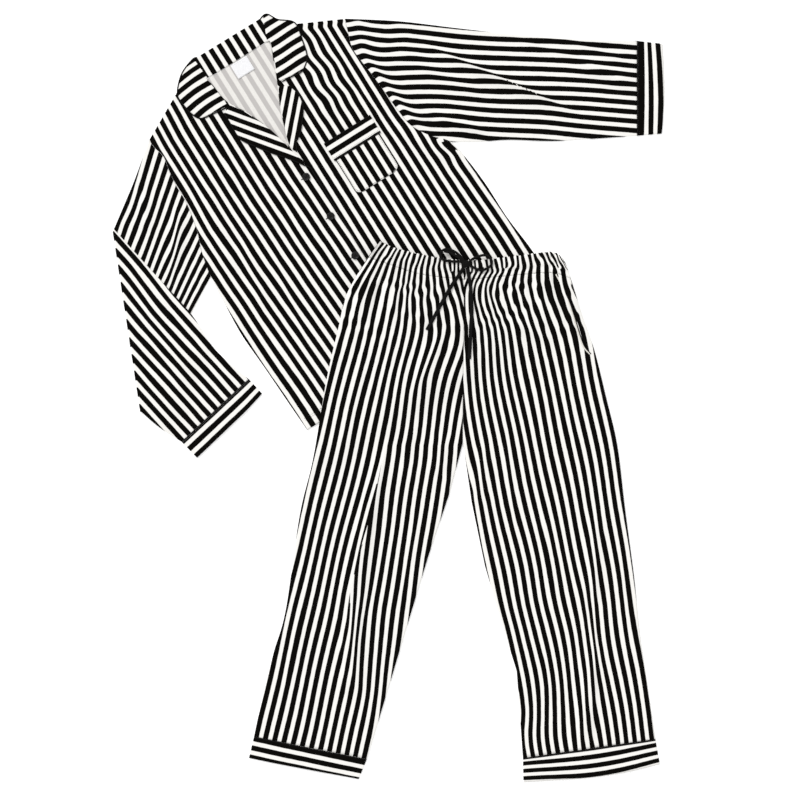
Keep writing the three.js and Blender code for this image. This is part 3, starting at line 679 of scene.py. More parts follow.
class Nodes:
    """A material's node tree with short ways to add to it."""

    def __init__(self, name: str) -> None:
        """Starts a material with its shader and output."""
        self.material = bpy.data.materials.new(name)
        self.material.use_nodes = True
        self.tree = self.material.node_tree
        self.shader = self.tree.nodes["Principled BSDF"]

    def add(self, kind: str, **settings: object) -> bpy.types.Node:
        """Adds a node.

        Args:
            kind: the node's type.
            settings: its properties; one named in1, in2 and so on goes to that input.

        Returns:
            The node.
        """
        node = self.tree.nodes.new(kind)
        for key, value in settings.items():
            if key[:2] == "in" and key[2:].isdigit():
                node.inputs[int(key[2:])].default_value = value
            else:
                setattr(node, key, value)
        return node

    def link(self, source: Socket, target: Socket) -> None:
        """Joins two sockets."""
        self.tree.links.new(source, target)

    def math(self, operation: str, first: object, second: object = 0.0) -> Socket:
        """A sum of one step.

        Args:
            operation: what is done.
            first: a socket or a number.
            second: a socket or a number.

        Returns:
            The socket of the result.
        """
        node = self.add("ShaderNodeMath", operation=operation)
        for socket, value in zip(node.inputs, (first, second)):
            if isinstance(value, Socket):
                self.link(value, socket)
            else:
                socket.default_value = value
        return node.outputs[0]

    def spread(self, value: Socket, low: float, high: float,
               to_low: float = 0.0, to_high: float = 1.0) -> Socket:
        """Maps a range of a value to another with a soft step.

        Args:
            value: the socket that gives it.
            low: start of its range.
            high: end of its range.
            to_low: the result at the start.
            to_high: the result at the end.

        Returns:
            The socket of the result.
        """
        node = self.add("ShaderNodeMapRange", interpolation_type="SMOOTHSTEP",
                        in1=low, in2=high, in3=to_low, in4=to_high)
        self.link(value, node.inputs[0])
        return node.outputs[0]

    def mix(self, share: Socket, first: object, second: object) -> Socket:
        """A blend of two colours.

        Args:
            share: how much there is of the second.
            first: a socket or a colour.
            second: a socket or a colour.

        Returns:
            The socket of the blend.
        """
        node = self.add("ShaderNodeMix", data_type="RGBA")
        self.link(share, node.inputs["Factor"])
        for name, value in (("A", first), ("B", second)):
            socket = next(s for s in node.inputs if s.name == name and s.type == "RGBA")
            if isinstance(value, Socket):
                self.link(value, socket)
            else:
                socket.default_value = (*value, 1.0)
        return next(s for s in node.outputs if s.type == "RGBA")

    def noise(self, vector: Socket, scale: float, detail: float = 2.0) -> Socket:
        """Soft noise on a vector, at a scale per metre, with so many octaves of detail."""
        node = self.add("ShaderNodeTexNoise")
        node.inputs["Scale"].default_value = scale
        node.inputs["Detail"].default_value = detail
        self.link(vector, node.inputs["Vector"])
        return node.outputs[0]

    def bump(self, height: Socket, distance: float, strength: float = 1.0) -> None:
        """Raises the surface by a height times a distance in metres."""
        node = self.add("ShaderNodeBump")
        node.inputs["Strength"].default_value = strength
        node.inputs["Distance"].default_value = distance
        self.link(height, node.inputs["Height"])
        self.link(node.outputs[0], self.shader.inputs["Normal"])

    def put(self, **values: float) -> None:
        """Sets numbers on the shader's own sockets, named with _ for a space."""
        for name, value in values.items():
            self.shader.inputs[name.replace("_", " ")].default_value = value


@dataclass(frozen=True)
class StripedJersey:
    """Brushed jersey with dark stripes: colour by the stripe count, a rib of loops and a fine speckle.

    Attributes:
        name: the material's name.
        dark: colour of the dark stripes.
        light: colour of the pale ones.
        share: how much of a pitch is dark.
        sheen: strength of the brushed nap.
        blur: half the width of a stripe's soft edge, in pitches.
        fleck: how much lighter the flecks in the dark stripes are.
    """

    name: str
    dark: tuple[float, float, float]
    light: tuple[float, float, float]
    share: float = 0.57
    sheen: float = 0.01
    blur: float = 0.035
    fleck: float = 2.4

    def build(self) -> Material:
        """Makes the material: the distance to the nearest dark stripe's middle picks the colour."""
        n = Nodes(self.name)
        uv = n.add("ShaderNodeUVMap", uv_map="Cloth").outputs[0]
        parts = n.add("ShaderNodeSeparateXYZ")
        n.link(uv, parts.inputs[0])
        stripe, length = parts.outputs[0], parts.outputs[1]
        place = n.add("ShaderNodeTexCoord").outputs["Object"]
        fuzz = n.noise(place, 900.0, 3.0)
        wander = n.noise(place, 60.0, 2.0)
        shifted = n.math("ADD", stripe, n.math("MULTIPLY", n.math("SUBTRACT", fuzz, 0.5), 0.05))
        shifted = n.math("ADD", shifted, n.math("MULTIPLY", n.math("SUBTRACT", wander, 0.5), 0.05))
        away = n.math("MULTIPLY", n.math("ABSOLUTE", n.math("SUBTRACT", n.math(
            "FRACT", n.math("ADD", shifted, 0.5)), 0.5)), 2.0)
        pale = n.spread(away, self.share - self.blur, self.share + self.blur)
        dark = n.mix(n.spread(n.noise(place, 1600.0, 4.0), 0.52, 0.78),
                     self.dark, tuple(self.fleck * c + 0.004 for c in self.dark))
        light = n.mix(n.spread(n.noise(place, 500.0, 4.0), 0.35, 0.8),
                      self.light, tuple(0.94 * c for c in self.light))
        n.link(n.mix(pale, dark, light), n.shader.inputs["Base Color"])
        n.link(n.spread(away, self.share - 0.05, self.share + 0.05, 0.03, 0.2),
               n.shader.inputs["Specular IOR Level"])
        wale = n.math("SINE", n.math("MULTIPLY", stripe, 2 * math.pi * 19))
        loop = n.math("SINE", n.math("ADD", n.math("MULTIPLY", length, 2 * math.pi * 23),
                                     n.math("MULTIPLY", stripe, math.pi * 20)))
        knit = n.math("ADD", n.math("MULTIPLY", wale, 0.5), n.math("MULTIPLY", loop, 0.25))
        n.bump(n.math("ADD", knit, n.math("MULTIPLY", fuzz, 1.2)), 0.00012, 0.55)
        n.link(n.spread(fuzz, 0.3, 0.7, 0.78, 0.92), n.shader.inputs["Roughness"])
        n.put(Sheen_Weight=self.sheen, Sheen_Roughness=0.45)
        return n.material


@dataclass(frozen=True)
class Trim:
    """Plain cloth trim: a fine twill on a rounded or flat tape, with lint and wear in its colour.

    Attributes:
        name: the material's name.
        colour: its colour.
        rough: its roughness.
        ribs: ribs to a stripe's pitch.
        sheen: strength of the nap.
        gloss: strength of the reflection.
    """

    name: str
    colour: tuple[float, float, float]
    rough: float = 0.62
    ribs: float = 26.0
    sheen: float = 0.02
    gloss: float = 0.08

    def build(self) -> Material:
        """Makes the material: slanted ribs from the UV map, lint from the object's own place."""
        n = Nodes(self.name)
        uv = n.add("ShaderNodeUVMap", uv_map="Cloth").outputs[0]
        parts = n.add("ShaderNodeSeparateXYZ")
        n.link(uv, parts.inputs[0])
        slant = n.math("ADD", parts.outputs[0], parts.outputs[1])
        rib = n.math("SINE", n.math("MULTIPLY", slant, 2 * math.pi * self.ribs))
        place = n.add("ShaderNodeTexCoord").outputs["Object"]
        lint = n.noise(place, 1400.0, 3.0)
        worn = n.noise(place, 120.0, 3.0)
        lifted = tuple(min(1.0, 1.5 * c + 0.004) for c in self.colour)
        shade = n.mix(n.spread(n.math("ADD", n.math("MULTIPLY", lint, 0.6), n.math("MULTIPLY", worn, 0.4)),
                               0.48, 0.72), self.colour, lifted)
        n.link(shade, n.shader.inputs["Base Color"])
        n.bump(n.math("ADD", n.math("MULTIPLY", rib, 0.5), lint), 0.00015, 0.6)
        n.link(n.spread(worn, 0.3, 0.7, self.rough - 0.06, self.rough + 0.08), n.shader.inputs["Roughness"])
        n.put(Sheen_Weight=self.sheen, Sheen_Roughness=0.4, Specular_IOR_Level=self.gloss)
        return n.material


@dataclass(frozen=True)
class Resin:
    """Polished resin of the buttons, faintly mottled, with fine rubbing marks in its gloss."""

    name: str
    colour: tuple[float, float, float]

    def build(self) -> Material:
        """Makes the material: noise shifts the colour a little and the gloss more."""
        n = Nodes(self.name)
        place = n.add("ShaderNodeTexCoord").outputs["Object"]
        cloud = n.noise(place, 420.0, 3.0)
        marks = n.noise(place, 2600.0, 2.0)
        lifted = tuple(1.7 * c + 0.004 for c in self.colour)
        n.link(n.mix(n.spread(cloud, 0.4, 0.7), self.colour, lifted), n.shader.inputs["Base Color"])
        n.link(n.spread(marks, 0.3, 0.75, 0.26, 0.44), n.shader.inputs["Roughness"])
        n.bump(marks, 0.00003, 0.4)
        n.put(Specular_IOR_Level=0.2, Coat_Weight=0.04, Coat_Roughness=0.2)
        return n.material


@dataclass(frozen=True)
class Finishes:
    """Every material of the set."""

    outside: Material
    crossed: Material
    inside: Material
    trim: Material
    tape: Material
    thread: Material
    facing: Material
    button: Material
    label: Material

    @property
    def cloth(self) -> tuple[Material, ...]:
        """The finishes of a striped piece, in the order of Side."""
        return self.outside, self.inside, self.trim

    @property
    def bands(self) -> tuple[Material, ...]:
        """The finishes of a piece whose stripes run crosswise, in the order of Side."""
        return self.crossed, self.inside, self.trim

    @staticmethod
    def make() -> "Finishes":
        """Makes the materials."""
        dark, light = (0.0022, 0.0018, 0.0014), (0.9, 0.885, 0.85)
        faded, pale = (0.52, 0.50, 0.487), (0.81, 0.79, 0.757)
        satin = (0.88, 0.88, 0.9)
        return Finishes(
            outside=StripedJersey("striped_jersey", dark, light).build(),
            crossed=StripedJersey("cross_striped_jersey", dark, light).build(),
            inside=StripedJersey("striped_jersey_wrong_side", faded, pale, share=0.52, sheen=0.05,
                                 blur=0.12, fleck=1.12).build(),
            trim=Trim("black_piping", (0.0035, 0.003, 0.0028)).build(),
            tape=Trim("black_tape", (0.0036, 0.0032, 0.003), rough=0.7, ribs=32.0).build(),
            thread=Trim("black_thread", (0.008, 0.007, 0.0065), rough=0.6, ribs=40.0).build(),
            facing=Trim("pale_facing", (0.7, 0.67, 0.61), rough=0.8, ribs=20.0, sheen=0.05).build(),
            button=Resin("black_resin", (0.004, 0.0036, 0.0034)).build(),
            label=Trim("white_satin", satin, rough=0.42, ribs=34.0, sheen=0.05, gloss=0.4).build(),
        )


# Shirt


@dataclass(frozen=True)
class Turned:
    """The place of the shirt in the set.

    Attributes:
        x: where the shirt's origin lies across the set.
        y: where it lies up the set.
        turn: how far the shirt is turned.
    """

    x: float = -157.0
    y: float = 454.9
    turn: float = math.radians(32)

    def to_set(self, x: Array, y: Array) -> tuple[Array, Array]:
        """Turns a point of the shirt into the set's frame."""
        c, s = math.cos(self.turn), math.sin(self.turn)
        return self.x + x * c - y * s, self.y + x * s + y * c

    def to_shirt(self, x: Array, y: Array) -> tuple[Array, Array]:
        """Turns a point of the set into the shirt's frame."""
        c, s = math.cos(self.turn), math.sin(self.turn)
        dx, dy = x - self.x, y - self.y
        return dx * c + dy * s, dy * c - dx * s


PLACE = Turned()

HEM_Y = -436.0
PLACKET, PLACKET_RAMP = 28.0, 16.0
NECK_Y = 247.6
SIDE_LEFT_X, SIDE_RIGHT_X = 282.0, -276.0

ARMHOLE_LEFT = ((261, -108), (233, -76), (212, -40), (206, 0), (203, 45),
                (200, 85), (196, 120), (195, 150), (204, 179), (213, 205))
ARMHOLE_RIGHT = ((-275, -83), (-264, -33), (-249, 11), (-239, 62), (-238, 103),
                 (-234, 137), (-229, 164), (-234, 186), (-237, 206))
SIDE_ROWS = ((HEM_Y, -274, 282), (-370, -277, 283), (-290, -280, 276), (-215, -284, 275), (-155, -281, 270))
ROLL_RIGHT = ((0, -70), (0, -35), (0, 0), (-13, 51), (-25, 100), (-45, 150), (-68, 192), (-77, 244),
              (-102, 277))
ROLL_LEFT = ((-PLACKET, -120), (-PLACKET, -80), (-PLACKET, -40), (-PLACKET, 5), (-12, 53),
             (2, 92), (14, 125), (39, 178), (64, 236), (92, 264))

SHIRT_CREASES = (
    Crease((-203, 76), (-225, -103), 18, 4.5, 0.18),
    Crease((-190, -60), (-215, -190), 16, 3, -0.15),
    Crease((105, 150), (84, 53), 15, 3, 0.2),
    Crease((190, -20), (236, -140), 15, 4, 0.15),
    Crease((-60, -60), (-75, -200), 22, 2, 0.1),
)
SHIRT_FINE = (
    Crease((-120, 150), (-150, 20), 9, 0.8, 0.14),
    Crease((-150, -120), (-185, -300), 10, 0.9, -0.12),
    Crease((-70, 60), (-95, -60), 8, 0.7, 0.1),
    Crease((150, 120), (176, 0), 8, 0.9, -0.12),
    Crease((228, -60), (246, -150), 6, 1.1, 0.1),
    Crease((30, 60), (36, -90), 8, 0.6, 0.1),
    Crease((112, 210), (92, 130), 7, 0.8, 0.11),
    Crease((-230, -180), (-240, -380), 9, 0.8, 0.1),
    Crease((216, -36), (276, -158), 5, 1.1, 0.04, 0.34, 24),
)
SHIRT_DRAPE = Drape(0.9, 74, 0.5)

# Waist and outer edge of the trousers, past which they hide the shirt, in the set's frame
WAIST_OVER_SHIRT = ((-17, 19, 73, 143, 204, 260, 319, 342), (308, 294, 281, 272, 275, 282, 288, 273))
LEG_OVER_SHIRT = ((-226, -116, 36, 137, 205, 276, 308), (-173, -147, -121, -98, -81, -40, -17))
# How far the right front's stripes are moved over: distance below the first button, and the shift
HEM_SHIFT = ((0, 60, 120, 160, 200, 240, 280, 320, 360, 400), (0, 2, 3, 5, 6, 8, 10, 12, 14, 15))

# Rows of the lapels: a point of the roll, and the point of the outer edge across from it
RIGHT_LAPEL = (
    ((-1.5, 6), (-4.5, 8)), ((-8, 31), (-23, 33)), ((-16, 65), (-40, 54)), ((-25, 100), (-62, 84)),
    ((-41, 138), (-82, 115)), ((-55, 166), (-83, 145)), ((-66, 181), (-82, 172)),
)
LEFT_LAPEL = (
    ((-8, 41), (-5.5, 37)), ((-9, 50), (-1, 43)), ((-8, 60), (4, 52)), ((-2, 80), (16, 60)),
    ((6, 100), (31, 75)), ((15, 125), (53, 105)), ((23, 142), (57, 130)), ((33, 162), (51, 151)),
)
FRONT_PIPING = (
    (-84, 173), (-84.8, 145), (-84.2, 114), (-63.5, 81.5), (-41, 51), (-24, 30.5), (-6, 5), (1.6, -6),
    (1.6, -24), (1.6, -60), (1.6, -130), (1.6, -200), (1.6, -280), (1.6, -360), (1.6, HEM_Y),
)
LEFT_LAPEL_PIPING = (
    (-4.5, 35), (0.5, 42.6), (5, 51), (17.2, 59), (32.2, 74.4), (54.2, 104.5), (58.2, 130), (52.4, 151),
)
COLLAR_PIPING = (
    (-73, 179.8), (-100, 183.3), (-127, 188), (-138.4, 205), (-143.2, 232), (-141.3, 254), (-113.5, 282.3),
    (-79, 295.4), (-60, 294.7), (0, 294.2), (70, 293.6), (88.7, 293), (101, 273.3), (126.2, 249.7),
    (120.4, 212), (111.3, 181), (89, 162.6), (66, 164), (45, 165.6),
)


@dataclass(frozen=True)
class Shirt:
    """The shirt: panels, lapels, collar, pocket, sleeves, cuffs, piping and buttons.

    The sides and edges of the fronts run from the hem up. A box is given by its left, right, upper and
    lower edge. The buttons' holes lie as far across as up from their middle.
    """

    finishes: Finishes
    right_side: tuple[Point, ...] = tuple((right, y) for y, right, _ in SIDE_ROWS) + ARMHOLE_RIGHT
    left_side: tuple[Point, ...] = tuple((left, y) for y, _, left in SIDE_ROWS) + ARMHOLE_LEFT
    right_edge: tuple[Point, ...] = tuple((0.0, y) for y, _, _ in SIDE_ROWS) + ROLL_RIGHT
    left_edge: tuple[Point, ...] = tuple((-PLACKET, y) for y, _, _ in SIDE_ROWS) + ROLL_LEFT
    label_box: tuple[float, ...] = (-25.0, 12.0, 246.0, 215.0)
    pocket_box: tuple[float, ...] = (52.0, 150.0, -20.2, -99.5)
    pocket_corner: float = 14.0
    band_box: tuple[float, ...] = (49.0, 155.0, 19.5, -19.8)
    cuff_width: float = 180.0
    button_x: float = -14.4
    button_top_y: float = -16.6
    button_pitch: float = 90.3
    button_radius: float = 7.7
    button_height: float = 2.8
    button_rim: float = 1.7
    button_hole: float = 1.55

    # Heights

    @staticmethod
    def shown(x: Array, y: Array) -> Array:
        """1 where the shirt shows and 0 where the trousers lie on it, by their outer edge and waist."""
        set_x, set_y = PLACE.to_set(x, y)
        edge, waist = np.interp(set_y, *LEG_OVER_SHIRT), np.interp(set_x, *WAIST_OVER_SHIRT)
        return np.maximum(smooth(edge - set_x, 6, 34), smooth(set_y - waist, 6, 34))

    @classmethod
    def relief(cls, x: Array, y: Array) -> Array:
        """Height of the creases and of the drape of the fronts; the fine ones end under the trousers."""
        fine = heights(SHIRT_FINE, x, y) + SHIRT_DRAPE.height(x, y)
        return heights(SHIRT_CREASES, x, y) + fine * cls.shown(x, y)

    @classmethod
    def left_over(cls, x: Array, y: Array) -> Array:
        """Top of the left front."""
        return LAYER + WALL + cls.relief(x, y)

    @classmethod
    def right_over(cls, x: Array, y: Array) -> Array:
        """Top of the right front, which steps over the left one at the placket."""
        overlap = LAYER * smooth(x, -PLACKET - 2 * PLACKET_RAMP, -PLACKET - 6)
        return LAYER + overlap + WALL + cls.relief(x, y)

    # Stripes

    @staticmethod
    def right_stripes(x: Array, y: Array) -> Array:
        """Stripe count of the right front: even at the chest, moved over by up to 15 mm at the hem."""
        even = (x - np.interp(-y, *HEM_SHIFT) + 17.6) / PITCH
        armhole = 0.2 * smooth(-x, 195, 225) * smooth(y, -20, 80)
        shoulder = 0.25 * smooth(y, 170, 250) * smooth(-x, 100, 180)
        low_side = 0.2 * smooth(-x, 225, 275) * smooth(-y, 150, 300)
        return even - armhole - shoulder + low_side + pulls(SHIRT_CREASES + SHIRT_FINE, x, y)

    @staticmethod
    def left_stripes(x: Array, y: Array) -> Array:
        """Stripe count of the left front: even across it, wavy below the shoulder and hooked at its seam."""
        armhole = 0.2 * smooth(x, 140, 195) * smooth(y, -60, 0)
        low_side = 0.34 * smooth(x, 120, 270) * smooth(-y, 150, 330)
        wavy = 0.12 * smooth(x, 60, 105) * (1 - smooth(x, 125, 180)) * smooth(y, 40, 100)
        waves = wavy * np.sin(2 * math.pi * y / 64 + x / 40)
        seam = 264 - 0.488 * (x - 92)
        hook = 0.35 * (1 - smooth(seam - y, 1, 15)) * smooth(x, 90, 115)
        armpit = np.exp(-(((x - 252) / 26) ** 2) - ((y + 108) / 40) ** 2)
        pucker = 0.22 * armpit * np.sin(2 * math.pi * y / 66 + x / 30)
        return ((x - 20.6) / 18.05 + armhole - low_side + waves - hook - pucker
                + pulls(SHIRT_CREASES + SHIRT_FINE, x, y))

    # Pieces

    def finish(self, name: str, surface: Surface, slot: Slot, *nodes: str,
               finishes: Optional[Sequence[Material]] = None) -> Piece:
        """Turns a surface of the shirt into the set's frame and makes its piece.

        Args:
            name: the piece's name.
            surface: its surface in the shirt's frame.
            slot: its material slot.
            nodes: the CAD nodes that it stands for.
            finishes: its materials, if it isn't of striped cloth.

        Returns:
            The piece.
        """
        thing = make_object(name, surface.moved(PLACE.to_set), finishes or self.finishes.cloth)
        return dress(thing, slot, *nodes)

    def trim(self, name: str, surface: Surface, *nodes: str) -> None:
        """Makes a piece of piping."""
        self.finish(name, surface, Slot.TRIM, *nodes, finishes=(self.finishes.trim,))

    def thread(self, name: str, surface: Surface) -> None:
        """Makes a piece of thread."""
        self.finish(name, surface, Slot.TRIM, finishes=(self.finishes.thread,))

    def back(self) -> None:
        """The back, flat on the surface, its wrong side up; its rows end at the neck's low curve."""
        shares, neck = (0, 0.3, 0.36, 0.68, 0.74, 1), NECK_Y - AIR

        def top_edge(t: Array) -> Array:
            """The shoulders and the neck as one edge from the left tip to the right one."""
            x = np.interp(t, shares, (213, 92, 66, -80, -102, -237))
            y = np.interp(t, shares, (205, 264, neck, neck, 277, 206))
            return np.stack([x, y], axis=-1)

        bottom = straight_edge(((SIDE_LEFT_X, HEM_Y), (SIDE_ROWS[0][1], HEM_Y)))
        plan = patch(bottom, top_edge, smooth_edge(self.left_side), smooth_edge(self.right_side))
        surface = cloth_panel(
            plan, lambda x, y, u, v: 0 * x, lambda x, y, u, v: 0 * x + WALL, 100, 110,
            lambda x, y, u, v: (x + 5) / 18.1, lambda x, y, u, v: y, soft_edge=0.2,
        )
        top = surface.side == Side.RIGHT
        low = surface.side == Side.WRONG
        surface.side[top], surface.side[low] = Side.WRONG, Side.RIGHT
        piece = self.finish("back_cloth", surface, Slot.STRIPED, "shirt_back")

    def fronts(self) -> None:
        """The two fronts, from the hem up to the shoulders and in to the roll of the lapels."""
        for name, node, side, edge, over, stripes, area in (
            ("front_right_cloth", "shirt_front_right", self.right_side, self.right_edge,
             self.right_over, self.right_stripes, 0.16),
            ("front_left_cloth", "shirt_front_left", self.left_side, self.left_edge,
             self.left_over, self.left_stripes, 0.165),
        ):
            surface = cloth_panel(
                ruled(smooth_edge(side), smooth_edge(edge)),
                lambda x, y, u, v, over=over: over(x, y) - WALL,
                lambda x, y, u, v, over=over: over(x, y),
                90, 170,
                lambda x, y, u, v, stripes=stripes: stripes(x, y),
                lambda x, y, u, v: y,
            )
            piece = self.finish(name, surface, Slot.STRIPED, node)

    def lapels(self) -> None:
        """The two lapels: facings folded over at the roll, where their upper face rounds down."""
        for name, node, rows, base, slope, start, pitch, route, flat, area in (
            ("lapel_right_cloth", "lapel_right", RIGHT_LAPEL, self.right_over, (0.37, 1.0), 418.3, 17.4,
             FRONT_PIPING, (0.06, 0.19), 0.0059),
            ("lapel_left_cloth", "lapel_left", LEFT_LAPEL, self.left_over, (1.0, -0.19), -291.3, 16.4,
             LEFT_LAPEL_PIPING, (0.05, 0.13), 0.004),
        ):
            cord, outer = through(route, 400), smooth_edge([row[1] for row in rows])
            plan = ruled(smooth_edge([row[0] for row in rows]),
                         lambda t, cord=cord, outer=outer: drawn_to(outer(t), cord, PIPED_INSET))

            def under(x: Array, y: Array, u: Array, v: Array, base: Share = base) -> Array:
                """Its lower face, over the front."""
                return base(x, y) + LAPEL_AIR

            def over(x: Array, y: Array, u: Array, v: Array, base: Share = base) -> Array:
                """Its upper face, rounded down at the roll by a quarter circle."""
                drop = 1 - np.sqrt(1 - (1 - np.clip(u / 0.09, 0, 1)) ** 2)
                return base(x, y) + LAPEL_AIR + WALL - 1.0 * drop

            def stripes(x: Array, y: Array, u: Array, v: Array, slope: Point = slope,
                        start: float = start, pitch: float = pitch) -> Array:
                """Even straight lines in the set's frame: a weighted sum of x and y."""
                set_x, set_y = PLACE.to_set(x, y)
                return (set_x * slope[0] + set_y * slope[1] - start) / pitch

            surface = cloth_panel(plan, under, over, 24, 60, stripes, lambda x, y, u, v: x, soft_edge=0.25)
            piece = self.finish(name, surface, Slot.STRIPED, node)
        x, y = through(LEFT_LAPEL_PIPING, 60).T
        z = self.left_over(x, y) + LAPEL_AIR + 0.55 * PIPING
        self.trim("lapel_left_piping", ribbon(raised(x, y, z), 2.2, 2.2, 10))

    def collar(self) -> None:
        """The collar: the right leaf, the strip at the back of the neck and the left leaf."""
        under = 2 * LAYER
        rows = (
            (-71, 182, -125.8, 189.6, under), (-70, 195, -136.6, 205.6, under),
            (-74, 222, -141.8, 232, under), (-77, 243, -139.9, 253.2, under),
            (-77.5, 248, -112.3, 280.9, under), (-77, 249.5, -80, 293.6, under),
            (-68, 248.6, -68, 293.2, AIR), (-30, 248, -30, 293, 0), (20, 248, 20, 292.6, 0),
            (55, 248.6, 72, 292.2, AIR), (64, 247, 86, 291.4, under), (66, 245, 99.6, 272.3, under),
            (65, 240, 124.8, 248.8, under), (52, 205, 119, 212, under), (41, 179, 110, 181.4, under),
            (42, 169, 88, 164.6, under),
        )
        steps = np.linspace(0, 1, len(rows))
        low = [row[4] for row in rows]
        high = [row[4] + WALL if row[4] > WALL else FLAT_TUBE for row in rows]
        leaf = [float(row[4] > WALL) for row in rows]
        cord, outer = through(COLLAR_PIPING, 400), straight_edge([row[2:4] for row in rows])
        plan = ruled(straight_edge([row[:2] for row in rows]),
                     lambda t: drawn_to(outer(t), cord, PIPED_INSET))

        def stripes(x: Array, y: Array, u: Array, v: Array) -> Array:
            """Crosswise on the leaves, along the body on the strip between them."""
            right_leaf = (y - 200.5 + 4 * u - 2.2 * np.sin(math.pi * u)) / 19.3
            left_leaf = (y - 198.7 + 0.5 * np.sin(2 * math.pi * u)) / 19.1
            strip = (x + 4.2) / 18.1
            return np.where(v < 5.2 / 15, right_leaf, np.where(v > 9.6 / 15, left_leaf, strip))

        def over(x: Array, y: Array, u: Array, v: Array) -> Array:
            """Its upper face, which swells a little on the leaves."""
            return np.interp(v, steps, high) + np.interp(v, steps, leaf) * 0.9 * np.sin(math.pi * u)

        surface = cloth_panel(plan, lambda x, y, u, v: np.interp(v, steps, low), over, 28, 180, stripes,
                              lambda x, y, u, v: x + y, soft_edge=0.4)
        piece = self.finish("collar_cloth", surface, Slot.STRIPED, "collar")

    def label(self) -> None:
        """The blank neck label, a satin tag sewn along its upper edge, slightly wavy."""
        left, right, top, bottom = self.label_box
        plan = boxed(self.label_box)

        def wave(x: Array, y: Array, u: Array, v: Array) -> Array:
            """A low wave that grows towards the free edge."""
            return WALL + SEAM_GAP + 0.35 * v * (1 + np.sin(7 * u + 2 * v))

        surface = cloth_panel(plan, wave, lambda x, y, u, v: wave(x, y, u, v) + 0.5, 24, 20,
                              lambda x, y, u, v: x / PITCH, lambda x, y, u, v: y, 0.12)
        x = np.linspace(left + 1.5, right - 1.5, 30)
        rows = [stitches(raised(x, y, WALL + SEAM_GAP + rise), 1.6, 0.9, 0.35)
                for y, rise in ((top - 2.4, 0.6), (bottom + 2.4, 1.25))]
        piece = self.finish("label_satin", surface, Slot.LABEL, "neck_label", finishes=(self.finishes.label,))
        self.finish("label_stitches", gathered(rows), Slot.LABEL, finishes=(self.finishes.label,))

    def pocket(self) -> None:
        """The chest pocket with round lower corners, its crosswise band, its piping and its sewing."""
        left, right, top, bottom = self.pocket_box
        corner = self.pocket_corner

        def plan(u: Array, v: Array) -> tuple[Array, Array]:
            """Rows from the top down; the sides draw in along a quarter circle at the lower corners."""
            y = top + (bottom - top) * v
            deep = np.clip((bottom + corner - y) / corner, 0, 1)
            inset = corner * (1 - np.sqrt(1 - 0.999 * deep**2))
            return left + inset + (right - left - 2 * inset) * u, y

        def lift(extra: float) -> Height:
            """A height over the left front."""
            return lambda x, y, u, v: self.left_over(x, y) + AIR + extra

        body = cloth_panel(plan, lift(0), lift(WALL), 34, 34,
                           lambda x, y, u, v: (x - 66) / 17.6 + pulls(SHIRT_FINE, x, y), lambda x, y, u, v: y)
        start, end, upper, lower = self.band_box
        band = cloth_panel(boxed(self.band_box), lift(0), lift(1.5 * WALL), 40, 18,
                           lambda x, y, u, v: (y + 2.3) / 19.0, lambda x, y, u, v: x)
        pocket = self.finish("pocket_cloth", body, Slot.STRIPED, "chest_pocket")
        band_piece = self.finish("pocket_band_cloth", band, Slot.CROSSED, "pocket_band",
                                 finishes=self.finishes.bands)

        def band_line(inset: float, y: float) -> Array:
            """A level line on the band."""
            x = np.linspace(start + inset, end - inset, 40)
            return raised(x, y, self.left_over(x, np.full(40, y)) + AIR + 1.5 * WALL + 0.1)

        pipes = [ribbon(band_line(0.5, y), 2.2, 1.8, 10) for y in (upper - 0.5, lower + 0.5)]
        turns = np.linspace(0, math.pi / 2, 12)
        inner = 2.6
        low, arc = bottom + inner, corner - inner
        xs = np.concatenate([[left + inner] * 20, left + inner + arc * (1 - np.cos(turns)),
                             right - inner - arc * (1 - np.cos(turns[::-1])), [right - inner] * 20])
        ys = np.concatenate([np.linspace(top - 2, low + arc, 20), low + arc * (1 - np.sin(turns)),
                             low + arc * (1 - np.sin(turns[::-1])), np.linspace(low + arc, top - 2, 20)])
        sewn = [stitches(raised(xs, ys, self.left_over(xs, ys) + AIR + WALL + 0.15), 2.6, 1.2, 0.5)]
        sewn += [stitches(band_line(2.0, y), 2.4, 1.1, 0.4) for y in (13.6, -14.2)]
        self.trim("pocket_piping", gathered(pipes))
        self.thread("pocket_stitches", gathered(sewn))

    def cuff(self, hand: Hand, seam: Sequence[Point], end: Sequence[Point]) -> None:
        """A cuff's band and the piping of its seam, both flat tubes cut from one surface.

        Args:
            hand: the wearer's side.
            seam: the ends of the seam with the sleeve.
            end: points of the cuff's open end.
        """
        plan = patch(smooth_edge(seam), smooth_edge(end), straight_edge((seam[0], end[0])),
                     straight_edge((seam[-1], end[-1])))
        length = math.hypot(end[0][0] - seam[0][0], end[0][1] - seam[0][1])
        piping_end = (PIPING + SEAM_GAP) / length
        start = piping_end + SEAM_GAP / length

        def stripes(x: Array, y: Array, u: Array, v: Array) -> Array:
            """Right: a stripe in the middle. Left: a dark edge by the piping, then even stripes."""
            if hand is Hand.RIGHT:
                return (v * 42 - 20) / 18.4
            past = v * length - 9
            slant = 0.28 * (1 - u) * smooth(past, 7, 15) - 0.05 * smooth(past, 4, 11)
            return np.where(past < 0, past / 45, past / 17.9 + slant)

        def band_over(u: Array, v: Array) -> Array:
            """The band's upper face, slightly crowned and wavy."""
            return FLAT_TUBE + 1.2 * np.sin(math.pi * u) + 0.25 * np.sin(19 * u + 3 * v)

        def pipe_over(u: Array, v: Array) -> Array:
            """The piping's upper face, crowned and round across the seam."""
            bead = 0.5 * np.sin(math.pi * np.clip((v * length - SEAM_GAP) / PIPING, 0, 1))
            return FLAT_TUBE + 0.5 + 1.2 * np.sin(math.pi * u) + bead

